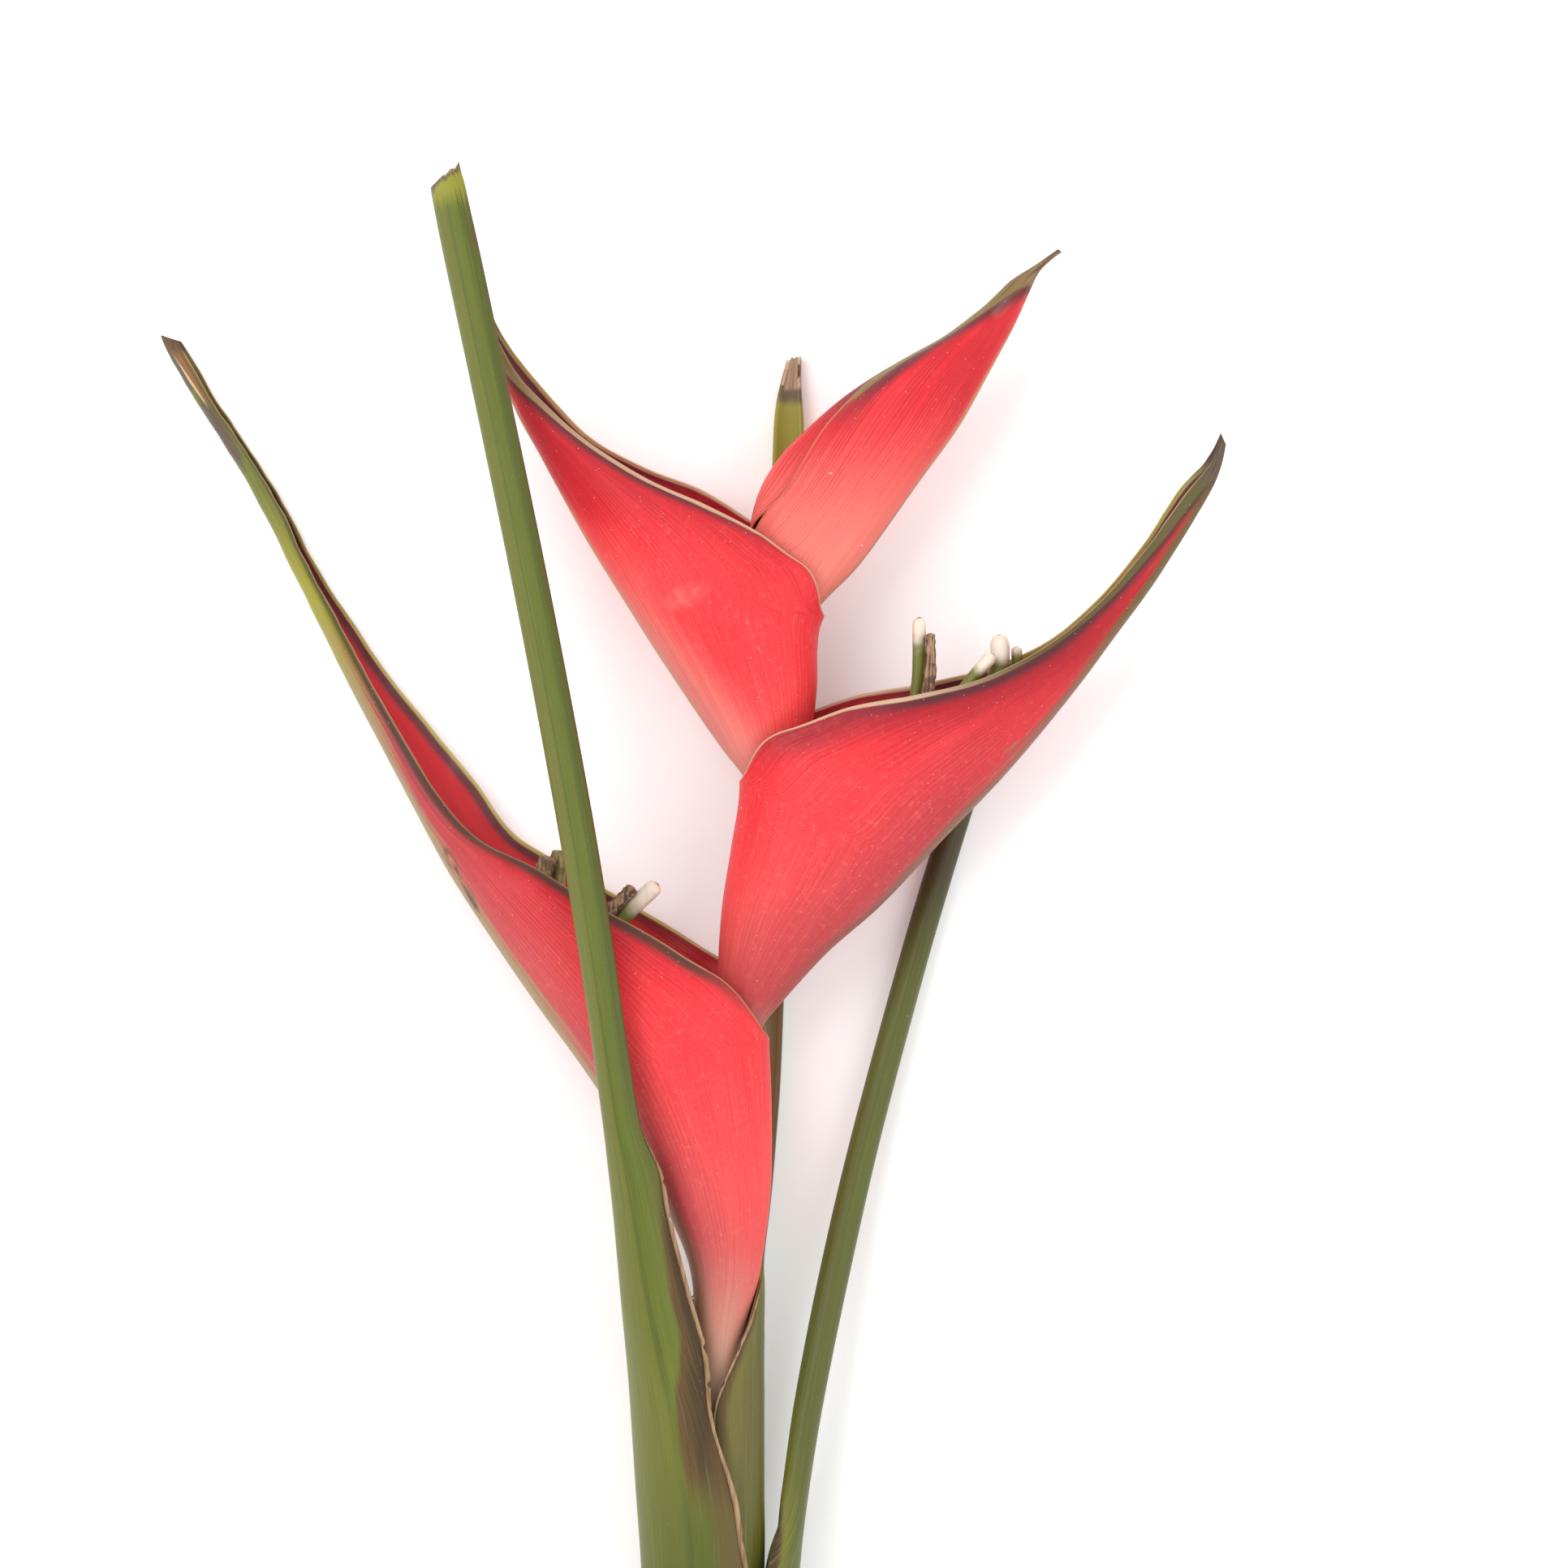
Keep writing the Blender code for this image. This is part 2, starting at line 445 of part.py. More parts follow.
def add_round_stalk(name, collection, points, finish):
    """A round stalk through x, y, z and radius rows, as a closed mesh."""
    curve = bpy.data.curves.new(name, "CURVE")
    curve.dimensions = "3D"
    curve.bevel_depth = MM
    curve.bevel_resolution = STALK_SIDES_RESOLUTION
    curve.use_fill_caps = True
    spline = curve.splines.new("POLY")
    spline.points.add(len(points) - 1)
    for spot, (x, y, z, radius) in zip(spline.points, points):
        spot.co = (x * MM, y * MM, z * MM, 1.0)
        spot.radius = radius
    guide = bpy.data.objects.new(name + "_guide", curve)
    collection.objects.link(guide)
    bpy.context.view_layer.update()
    evaluated = guide.evaluated_get(bpy.context.evaluated_depsgraph_get())
    tube = bmesh.new()
    made = bpy.data.meshes.new_from_object(evaluated)
    tube.from_mesh(made)
    bpy.data.meshes.remove(made)
    bpy.data.objects.remove(guide, do_unlink=True)
    bmesh.ops.remove_doubles(tube, verts=tube.verts, dist=WELD * MM)
    bmesh.ops.triangulate(tube, faces=tube.faces)
    bmesh.ops.recalc_face_normals(tube, faces=tube.faces)
    return finish_mesh(name, collection, tube, finish)


def add_foot(name, collection, centre, radius):
    """The short foot that the florets of one bract grow from."""
    ball = bmesh.new()
    bmesh.ops.create_uvsphere(ball, u_segments=10, v_segments=6, radius=radius * MM)
    bmesh.ops.translate(ball, verts=ball.verts, vec=Vector(centre) * MM)
    return finish_mesh(name, collection, ball, GREEN_FLORET)


def floret_points(route, radius):
    """The rows of one floret: slim at its foot, widest near its round tip."""
    points = []
    for place in FLORET_PLACES:
        spot = blend_rows(route, place * (len(route) - 1))
        swell = FLORET_NARROW_FOOT + (1 - FLORET_NARROW_FOOT) * place
        past = max(0.0, (place - 1 + FLORET_ROUND_TIP) / FLORET_ROUND_TIP)
        rounding = math.sqrt(max(1 - past ** 2, 0.04))
        points.append((*spot, radius * swell * rounding))
    return points


def add_florets(name, collection, feet, foot_radius, florets):
    """Join the florets of one bract and their foot into one body."""
    first_foot = feet[0]
    base = add_foot(name, collection, first_foot, foot_radius)
    parts = bpy.data.collections.new(name + "_parts")
    bpy.context.scene.collection.children.link(parts)
    if len(feet) > 1:
        add_foot(name + "_second_foot", parts, feet[1], foot_radius)
        bridge = [(*foot, foot_radius * 0.7) for foot in feet]
        add_round_stalk(name + "_bridge", parts, bridge, GREEN_FLORET)
    for index, (radius, *route) in enumerate(florets):
        foot = min(feet, key=lambda spot: (Vector(spot) - Vector(route[0])).length)
        points = floret_points([foot] + route, radius)
        add_round_stalk(f"{name}_{index}", parts, points, GREEN_FLORET)
    union = base.modifiers.new("Join", "BOOLEAN")
    union.operation = "UNION"
    union.operand_type = "COLLECTION"
    union.collection = parts
    union.solver = "EXACT"
    bpy.context.view_layer.update()
    joined = bpy.data.meshes.new_from_object(
        base.evaluated_get(bpy.context.evaluated_depsgraph_get()))
    base.modifiers.clear()
    base.data = joined
    for part in list(parts.objects):
        bpy.data.objects.remove(part, do_unlink=True)
    bpy.data.collections.remove(parts)
    return base


def stalk_points():
    """The flower stalk's rows, read from a smooth curve through its own points."""
    steps = 2 * (len(FLOWER_STALK) - 1)
    return [blend_rows(FLOWER_STALK, step / 2) for step in range(steps + 1)]


def build():
    """Build the whole stem."""
    clear_scene()
    heliconia = make_collection("lobster_claw_heliconia")
    add_round_stalk("flower_stalk", heliconia, stalk_points(), PALE_FLOWER_STALK)
    add_bract("bract_1", heliconia, BRACT_1, BRACT_1_CROTCH, open_bract_row)
    add_bract("bract_2", heliconia, BRACT_2, BRACT_2_CROTCH, open_bract_row)
    add_bract("bract_3", heliconia, BRACT_3, BRACT_3_CROTCH, open_bract_row)
    add_bract("bract_4", heliconia, BRACT_4, BRACT_4_CROTCH, rolled_bract_row, MARGIN_ROLL)
    add_florets("florets_bract_1", heliconia, [FLORETS_BRACT_1_FOOT],
                FLORETS_BRACT_1_FOOT_RADIUS, FLORETS_BRACT_1)
    add_florets("florets_bract_2", heliconia,
                [FLORETS_BRACT_2_FOOT, FLORETS_BRACT_2_SECOND_FOOT],
                FLORETS_BRACT_2_FOOT_RADIUS, FLORETS_BRACT_2)
    add_leaf("leaf_left", heliconia, LEAF_LEFT, LEAF_LEFT_TOP_SLOPE)
    add_leaf("leaf_back", heliconia, LEAF_BACK, LEAF_BACK_TOP_SLOPE)
    add_leaf("leaf_right", heliconia, LEAF_RIGHT, LEAF_RIGHT_TOP_SLOPE)


build()
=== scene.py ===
"""A cut stem of lobster claw heliconia, dressed for a close look.

The stem lies on a surface, with its cut end at -Y and the camera above it. The
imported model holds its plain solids. Each operator below makes one group of
finer pieces in their place: the bracts, the flower stalk, the florets and the
leaf stalks. The tables are in millimetres. They repeat the solids' own sizes,
with one more row at the tip of the second bract.
"""

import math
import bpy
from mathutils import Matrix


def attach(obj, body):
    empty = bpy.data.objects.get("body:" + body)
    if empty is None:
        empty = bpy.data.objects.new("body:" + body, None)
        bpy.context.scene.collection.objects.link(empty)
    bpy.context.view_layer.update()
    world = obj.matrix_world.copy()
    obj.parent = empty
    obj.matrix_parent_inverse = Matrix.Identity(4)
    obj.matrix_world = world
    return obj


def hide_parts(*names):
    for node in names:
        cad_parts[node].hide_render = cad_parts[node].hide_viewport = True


bl_info = {
    "name": "Lobster claw heliconia",
    "version": (1, 0, 0),
    "blender": (4, 5, 0),
    "location": "3D View > Sidebar > Heliconia",
    "description": "Builds a cut stem of lobster claw heliconia over its packed solids",
    "category": "Add Mesh",
}

import bmesh
import bpy
from bpy.props import FloatProperty, FloatVectorProperty, IntProperty, PointerProperty
from mathutils import Vector, kdtree, noise

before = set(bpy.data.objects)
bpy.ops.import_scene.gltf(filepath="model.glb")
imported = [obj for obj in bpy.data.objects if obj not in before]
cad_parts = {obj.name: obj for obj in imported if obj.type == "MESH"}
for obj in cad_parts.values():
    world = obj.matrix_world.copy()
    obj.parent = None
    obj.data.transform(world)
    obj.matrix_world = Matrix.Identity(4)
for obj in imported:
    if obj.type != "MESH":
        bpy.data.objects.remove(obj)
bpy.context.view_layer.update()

MM = 0.001
BODY = "root"

STEM_CUT_Y = -245.5
MARGIN_ROLL = 2.6

# An open bract: each row gives the keel, the near and the far margin as seen from
# above, the height, half the thickness, and the angle at which its margins end. The
# crotch is the row where its closed tube opens into a boat.
BRACT_1_CROTCH = 5
BRACT_1 = [
    ((0.9, -97.0), (12.8, -98.3), (12.8, -98.3), 23.3, 5.9, 180),
    ((0.7, -73.5), (14.1, -74.6), (14.1, -74.6), 24.0, 6.5, 180),
    ((-0.4, -54.8), (18.9, -53.7), (18.9, -53.7), 24.6, 9.3, 180),
    ((-7.0, -38.3), (21.4, -33.9), (21.4, -33.9), 25.1, 13.0, 180),
    ((-17.6, -17.8), (21.7, -11.9), (21.7, -11.9), 25.7, 16.3, 180),
    ((-28.6, -1.3), (21.1, 8.0), (21.1, 8.0), 26.4, 17.6, 180),
    ((-41.6, 16.7), (6.4, 25.5), (10.1, 28.2), 26.0, 17.6, 125),
    ((-53.9, 34.3), (-10.6, 35.9), (-9.0, 40.0), 25.0, 17.3, 115),
    ((-64.2, 50.2), (-26.8, 44.7), (-25.1, 49.3), 23.5, 16.3, 112),
    ((-70.2, 60.7), (-42.2, 54.3), (-39.6, 57.6), 21.8, 14.5, 110),
    ((-75.0, 69.5), (-57.6, 62.0), (-49.7, 64.7), 19.8, 12.5, 108),
    ((-79.6, 78.3), (-68.6, 73.9), (-59.2, 77.9), 17.3, 10.5, 105),
    ((-86.7, 91.5), (-79.0, 90.9), (-70.4, 91.5), 14.2, 8.6, 105),
    ((-95.9, 109.1), (-89.5, 109.1), (-84.5, 109.1), 10.6, 6.6, 115),
    ((-107.1, 131.1), (-101.9, 131.3), (-99.4, 131.3), 7.6, 5.0, 140),
    ((-120.3, 157.5), (-115.3, 158.0), (-114.2, 158.2), 5.0, 4.1, 150),
    ((-134.0, 179.5), (-129.8, 179.7), (-128.9, 180.0), 3.5, 3.6, 140),
    ((-142.3, 193.2), (-137.7, 193.4), (-136.8, 193.6), 3.2, 3.0, 110),
    ((-145.0, 199.3), (-140.1, 197.6), (-139.5, 197.8), 3.0, 2.6, 100),
]

BRACT_2_CROTCH = 6
BRACT_2 = [
    ((17.6, -4.8), (6.8, -3.5), (6.8, -3.5), 26.6, 5.4, 180),
    ((17.8, 5.2), (6.9, 8.0), (6.9, 8.0), 26.6, 5.6, 180),
    ((19.5, 11.4), (6.9, 16.5), (6.9, 16.5), 26.7, 6.1, 180),
    ((24.4, 17.6), (7.0, 26.2), (7.0, 26.2), 26.9, 7.4, 180),
    ((36.5, 31.0), (8.1, 42.7), (8.1, 42.7), 27.0, 11.5, 180),
    ((50.4, 43.1), (10.6, 59.2), (10.6, 59.2), 27.0, 14.5, 180),
    ((61.6, 54.6), (13.0, 77.9), (13.0, 77.9), 27.0, 16.3, 180),
    ((73.7, 67.5), (23.8, 91.1), (24.2, 94.2), 27.0, 17.0, 125),
    ((84.5, 79.0), (43.1, 97.9), (44.4, 101.0), 27.0, 17.0, 116),
    ((95.3, 91.5), (61.2, 101.2), (62.0, 104.3), 27.0, 15.3, 112),
    ((105.8, 104.7), (79.9, 106.0), (79.9, 108.5), 26.5, 12.0, 110),
    ((115.7, 117.9), (97.5, 115.3), (96.8, 115.9), 26.0, 8.5, 112),
    ((125.2, 131.1), (110.9, 126.5), (110.4, 127.4), 25.5, 6.0, 120),
    ((133.8, 144.3), (123.2, 140.8), (121.9, 141.2), 25.0, 4.4, 125),
    ((141.0, 156.4), (134.2, 156.0), (132.7, 157.3), 24.5, 3.1, 125),
    ((143.6, 162.6), (140.4, 163.6), (139.6, 164.6), 24.2, 2.3, 120),
    ((145.1, 169.2), (143.6, 171.4), (143.7, 172.4), 24.0, 1.5, 110),
]

BRACT_3_CROTCH = 5
BRACT_3 = [
    ((15.6, 67.3), (26.2, 67.8), (26.2, 67.8), 27.0, 5.3, 180),
    ((15.2, 76.6), (29.0, 78.3), (29.0, 78.3), 27.0, 6.3, 180),
    ((7.9, 86.9), (32.3, 90.9), (32.3, 90.9), 27.0, 8.4, 180),
    ((-1.1, 99.9), (33.9, 103.6), (33.9, 103.6), 27.0, 11.8, 180),
    ((-10.1, 113.5), (34.1, 114.6), (34.1, 114.6), 27.0, 14.0, 180),
    ((-18.5, 126.7), (36.1, 122.6), (36.1, 122.6), 27.0, 15.0, 180),
    ((-25.1, 137.3), (30.4, 136.4), (29.3, 139.9), 27.0, 15.0, 125),
    ((-31.5, 148.1), (18.3, 145.0), (16.1, 148.7), 27.0, 14.2, 115),
    ((-37.0, 158.2), (4.0, 152.5), (3.1, 156.9), 27.0, 12.6, 112),
    ((-41.8, 167.2), (-11.4, 159.3), (-12.5, 163.0), 27.0, 10.5, 112),
    ((-46.6, 175.8), (-27.3, 169.2), (-27.7, 171.4), 27.0, 8.2, 115),
    ((-51.0, 185.7), (-39.4, 179.7), (-40.5, 184.8), 27.0, 6.0, 115),
    ((-54.8, 196.0), (-48.4, 189.9), (-49.9, 196.5), 27.0, 4.0, 115),
    ((-58.3, 206.4), (-56.8, 206.8), (-56.3, 208.6), 27.0, 1.9, 110),
]

# The top bract is still rolled: its stations give the keel, the far outline,
# the height, half the thickness, and one angle each for the near and the far
# margin. Where they add up to over 360, the near margin lies over the far one.
BRACT_4_CROTCH = 4
BRACT_4 = [
    ((30.0, 105.2), (20.4, 106.5), 27.0, 4.8, 180, 180),
    ((30.8, 115.9), (19.0, 118.5), 27.0, 5.3, 180, 180),
    ((32.0, 121.5), (18.0, 125.5), 27.0, 5.3, 180, 180),
    ((36.7, 127.4), (17.0, 131.5), 27.0, 6.0, 180, 180),
    ((45.3, 136.0), (15.6, 143.0), 27.0, 8.2, 180, 180),
    ((54.6, 148.7), (18.0, 155.3), 27.0, 10.3, 136, 232),
    ((64.0, 161.9), (23.1, 164.6), 27.0, 11.6, 132, 240),
    ((73.3, 175.1), (30.8, 172.9), 27.0, 11.4, 141, 236),
    ((80.7, 188.3), (41.8, 182.4), 27.0, 10.3, 151, 222),
    ((86.9, 199.8), (54.6, 190.7), 27.0, 8.8, 160, 205),
    ((90.2, 207.2), (67.8, 198.2), 27.0, 7.0, 165, 170),
    ((92.4, 212.3), (78.3, 206.1), 27.0, 5.0, 155, 155),
    ((93.9, 215.4), (86.0, 213.4), 27.0, 3.3, 145, 145),
    ((96.6, 218.2), (92.4, 217.6), 27.0, 2.1, 130, 130),
    ((100.5, 221.1), (98.8, 222.6), 27.0, 1.5, 115, 115),
]

# The flower stalk: x, y, z and radius, from the cut end to the top bract.
FLOWER_STALK = [
    (7.7, STEM_CUT_Y, 16.0, 6.0),
    (7.0, -183.5, 17.6, 5.8),
    (6.4, -135.5, 19.5, 5.4),
    (6.6, -110.0, 22.2, 4.6),
    (6.9, -97.5, 23.3, 4.35),
    (8.2, -70.0, 24.3, 4.3),
    (10.6, -36.0, 25.6, 4.2),
    (12.2, -4.0, 26.6, 3.8),
    (12.8, 8.0, 26.6, 3.8),
    (17.0, 38.0, 27.0, 3.9),
    (20.9, 67.6, 27.0, 3.8),
    (23.0, 88.0, 27.0, 3.5),
    (25.2, 105.8, 27.0, 3.3),
    (25.8, 117.0, 27.0, 2.6),
]

# One level cut of a leaf: y, the middle of its outer oval in x and z, the two
# half-widths of that oval, the angles at which the leaf starts and ends, the
# angle of its back, the thickness at the back and at the margins, the share of
# a flat inner face, and how far that face is hollowed.
LEAF_LEFT = [
    (STEM_CUT_Y, 7.7, 16.0, 16.2, 16.2, 30, 330, 180, 3.1, 1.2, 0.0, 0.0),
    (-183.5, 7.0, 17.6, 18.3, 15.9, 40, 315, 180, 5.0, 1.2, 0.0, 0.0),
    (-135.5, 6.4, 19.5, 20.2, 16.8, 66, 290, 180, 6.3, 1.2, 0.0, 0.0),
    (-115.3, 4.4, 21.0, 19.6, 16.5, 70, 285, 180, 7.5, 1.2, 0.0, 0.0),
    (-92.2, -0.4, 23.0, 16.3, 15.5, 71, 280, 180, 8.6, 1.2, 0.1, 2.0),
    (-73.5, -5.7, 27.0, 12.5, 12.5, 48, 278, 180, 8.0, 1.0, 0.8, 6.0),
    (-62.5, -8.4, 30.5, 10.8, 10.0, 45, 283, 180, 8.0, 1.0, 0.9, 4.5),
    (-40.5, -12.5, 36.5, 8.6, 8.0, 42, 288, 175, 7.0, 1.0, 1.0, 2.2),
    (-27.3, -15.0, 40.4, 7.5, 6.8, 32, 290, 170, 6.0, 1.0, 1.0, 2.2),
    (-15.6, -18.0, 44.4, 5.8, 5.6, 38, 288, 165, 5.0, 1.0, 1.0, 1.2),
    (7.9, -21.6, 49.3, 5.3, 4.9, 35, 285, 160, 5.0, 1.0, 1.0, 1.2),
    (34.3, -25.4, 50.8, 5.4, 4.9, 35, 280, 160, 5.0, 1.0, 1.0, 1.2),
    (69.5, -31.2, 50.2, 5.5, 4.9, 35, 280, 160, 5.0, 1.0, 1.0, 1.2),
    (122.3, -41.1, 48.0, 5.5, 4.9, 35, 280, 160, 5.0, 1.0, 1.0, 1.2),
    (175.1, -51.9, 46.0, 5.5, 4.9, 35, 280, 160, 5.0, 1.0, 1.0, 1.2),
    (227.9, -63.1, 44.3, 5.5, 4.9, 35, 280, 160, 5.0, 1.0, 1.0, 1.2),
    (241.6, -66.2, 43.9, 4.2, 4.4, 35, 280, 160, 5.0, 1.0, 1.0, 1.0),
]
LEAF_LEFT_TOP_SLOPE = 0.9

LEAF_BACK = [
    (STEM_CUT_Y, 7.7, 16.0, 9.6, 9.6, 98, 442, 270, 3.2, 3.0, 0.0, 0.0),
    (-183.5, 7.0, 17.6, 11.3, 11.0, 98, 442, 270, 4.2, 4.0, 0.0, 0.0),
    (-135.5, 6.4, 19.5, 13.4, 12.5, 98, 442, 270, 5.0, 4.0, 0.0, 0.0),
    (-115.3, 6.4, 21.0, 13.4, 12.2, 98, 446, 270, 5.0, 3.0, 0.0, 0.0),
    (-95.0, 6.4, 22.3, 13.4, 11.6, 100, 452, 270, 4.5, 1.2, 0.0, 0.0),
    (-86.0, 6.4, 22.3, 13.4, 11.6, 120, 441, 270, 4.5, 1.0, 0.0, 0.0),
    (-75.2, 6.9, 21.8, 12.9, 11.6, 135, 421, 270, 4.5, 1.0, 0.0, 0.0),
    (-69.5, 7.8, 21.3, 12.0, 11.4, 160, 408, 270, 4.5, 1.0, 0.0, 0.0),
    (-60.0, 10.6, 19.6, 9.3, 10.6, 205, 394, 270, 4.6, 0.8, 0.0, 0.0),
    (-51.3, 13.2, 16.2, 6.6, 9.6, 200, 380, 270, 5.5, 0.9, 0.5, 2.0),
    (-36.0, 15.4, 9.5, 6.2, 6.5, 165, 380, 270, 5.0, 1.0, 1.0, 1.5),
    (-18.5, 18.0, 6.4, 5.1, 5.3, 160, 382, 270, 5.0, 1.0, 1.0, 1.0),
    (3.5, 20.0, 4.6, 4.5, 5.0, 158, 382, 270, 5.0, 1.0, 1.0, 1.0),
    (60.0, 22.0, 4.6, 4.4, 5.0, 158, 382, 270, 5.0, 1.0, 1.0, 1.0),
    (100.0, 23.4, 4.6, 4.4, 5.0, 158, 382, 270, 5.0, 1.0, 1.0, 1.0),
    (157.5, 26.0, 4.5, 4.4, 4.9, 158, 382, 270, 5.0, 1.0, 1.0, 1.0),
    (175.0, 26.4, 4.3, 4.1, 4.6, 158, 382, 270, 5.0, 1.0, 1.0, 0.8),
    (184.0, 26.7, 3.6, 3.2, 3.7, 155, 385, 270, 4.0, 0.9, 1.0, 0.4),
    (192.7, 27.7, 2.4, 2.1, 2.5, 150, 390, 270, 3.0, 0.8, 1.0, 0.0),
]
LEAF_BACK_TOP_SLOPE = 0.6

LEAF_RIGHT = [
    (STEM_CUT_Y, 7.7, 16.0, 12.6, 12.6, 245, 475, 360, 2.6, 1.0, 0.0, 0.0),
    (-183.5, 7.0, 17.6, 18.3, 13.0, 260, 460, 360, 6.6, 1.0, 0.0, 0.0),
    (-159.3, 6.7, 18.0, 21.0, 13.6, 278, 442, 360, 8.3, 1.0, 0.0, 0.0),
    (-135.5, 6.4, 19.5, 23.1, 13.8, 310, 410, 360, 9.4, 1.0, 0.0, 0.0),
    (-115.3, 27.5, 17.8, 4.4, 6.0, 255, 495, 375, 4.0, 1.0, 1.0, 0.8),
    (-88.9, 32.0, 15.0, 4.3, 4.8, 272, 512, 392, 4.0, 1.0, 1.0, 0.8),
    (-53.7, 39.3, 11.0, 4.3, 4.5, 285, 525, 405, 4.0, 1.0, 1.0, 0.8),
    (-18.5, 47.5, 7.6, 4.2, 4.4, 285, 525, 405, 4.0, 1.0, 1.0, 0.8),
    (25.5, 59.3, 4.9, 4.1, 4.3, 285, 525, 405, 4.0, 1.0, 1.0, 0.8),
    (51.9, 67.0, 4.2, 4.1, 4.3, 285, 525, 405, 4.0, 1.0, 1.0, 0.8),
    (73.9, 73.9, 4.2, 4.0, 4.3, 285, 525, 405, 4.0, 1.0, 1.0, 0.8),
    (97.0, 81.6, 4.1, 3.8, 4.2, 285, 525, 405, 4.0, 1.0, 1.0, 0.8),
]
LEAF_RIGHT_TOP_SLOPE = 0.3

# A floret: its widest radius, and its route from the foot to its blunt tip.
FRESH_FLORET = 1.7
DRIED_FLORET = 1.5
FULL_FLORET = 2.4
FLORET_NARROW_FOOT = 0.65

FLORETS_BRACT_1_FOOT = (-17.2, -6.6, 26.0)
FLORETS_BRACT_1 = [
    (FULL_FLORET, (-20.0, 10.0, 26.0), (-24.5, 30.0, 26.0), (-18.6, 40.6, 27.0), (-9.0, 50.0, 28.0)),
    (DRIED_FLORET, (-23.0, 12.0, 28.0), (-27.5, 32.0, 28.5), (-22.0, 42.5, 29.0), (-15.4, 49.0, 29.5)),
    (FULL_FLORET, (-28.0, 10.0, 24.5), (-34.0, 34.0, 24.0), (-36.5, 50.0, 25.0), (-35.4, 59.0, 26.0)),
    (FULL_FLORET, (-30.5, 12.0, 27.5), (-38.0, 34.0, 28.0), (-40.5, 49.0, 29.0), (-38.8, 57.5, 30.0)),
]

FLORETS_BRACT_2_FOOT = (50.4, 51.9, 27.0)
FLORETS_BRACT_2_SECOND_FOOT = (62.4, 63.6, 27.0)
FLORETS_BRACT_2 = [
    (FRESH_FLORET, (54.0, 72.0, 25.5), (59.0, 92.0, 25.0), (61.5, 106.0, 25.5), (61.8, 122.4, 26.0)),
    (DRIED_FLORET, (56.0, 72.0, 28.5), (61.5, 92.0, 29.0), (64.6, 106.0, 29.0), (64.7, 118.0, 29.0)),
    (FULL_FLORET, (68.0, 80.0, 28.0), (78.0, 97.0, 28.0), (83.4, 108.0, 28.0), (83.4, 117.6, 28.0)),
    (FRESH_FLORET, (65.0, 82.0, 30.5), (71.0, 98.0, 32.5), (76.5, 106.0, 33.0), (81.8, 112.2, 33.0)),
    (DRIED_FLORET, (70.0, 78.0, 25.0), (81.0, 94.0, 24.5), (87.4, 106.0, 24.5), (88.2, 114.4, 24.5)),
]

# The look of a bract. A colour is one of the user's, by its name, or three screen
# values. Lengths are in millimetres: the foot, the glow and keel_low along the bract
# from its foot, the yellow, the green and the dried end from its tip, the keel and the
# blush from its keel, and deep, the crimson shadow, the rim shadow and lip from its free
# edge. The crimson shadow and the rim shadow are painted shade inside the free edge, and
# the blush is partly painted shade on the keel side of the two lower bracts. What starts
# at the crotch, such as lip_turn, is measured past it. A patch has a strength, a colour,
# the x and y of its middle, half its length, half its width and its turn.
BRACT_LOOK = {
    "veins": 38.0, "cloud": 0.6, "deep": 0.75, "deep_width": 30.0, "deep_tip": 30.0,
    "dusk": 0.25, "dusk_width": 14.0,
    "glow": 0.0, "glow_start": 10.0, "glow_end": 80.0, "glow_keel": 0.6,
    "blush": 0.7, "blush_width": 22.0, "blush_stop": 500.0, "blush_shade": "bract_blush",
    "keel": 0.8, "keel_width": 5.0, "keel_low": 30.0, "keel_slim": 30.0,
    "keel_shade": "bract_keel", "keel_tip_shade": "bract_keel",
    "foot_start": 6.0, "foot_end": 30.0, "foot_shade": "bract_foot",
    "yellow_start": 12.0, "yellow_end": 34.0, "yellow_shade": "bract_yellow",
    "green": 1.0, "green_start": 2.0, "green_end": 20.0, "green_shade": "bract_green",
    "lip": 0.9, "lip_width": 1.5, "lip_gain": 1.6, "lip_gain_end": 34.0,
    "lip_young": "bract_edge", "lip_turn": (8.0, 45.0), "lip_shade": "bract_lip",
    # band sets the strength of the painted rim shadow on both faces of a bract.
    "band": 0.9, "band_width": 1.2, "band_start": 4.0, "band_full": 50.0,
    "band_shade": "bract_band", "slim_tip": 30.0,
    "cream_gain": 0.7, "inner_old": "scar", "dried_end": 12.0, "dried_pale": "papery_edge",
    "patches": [],
}
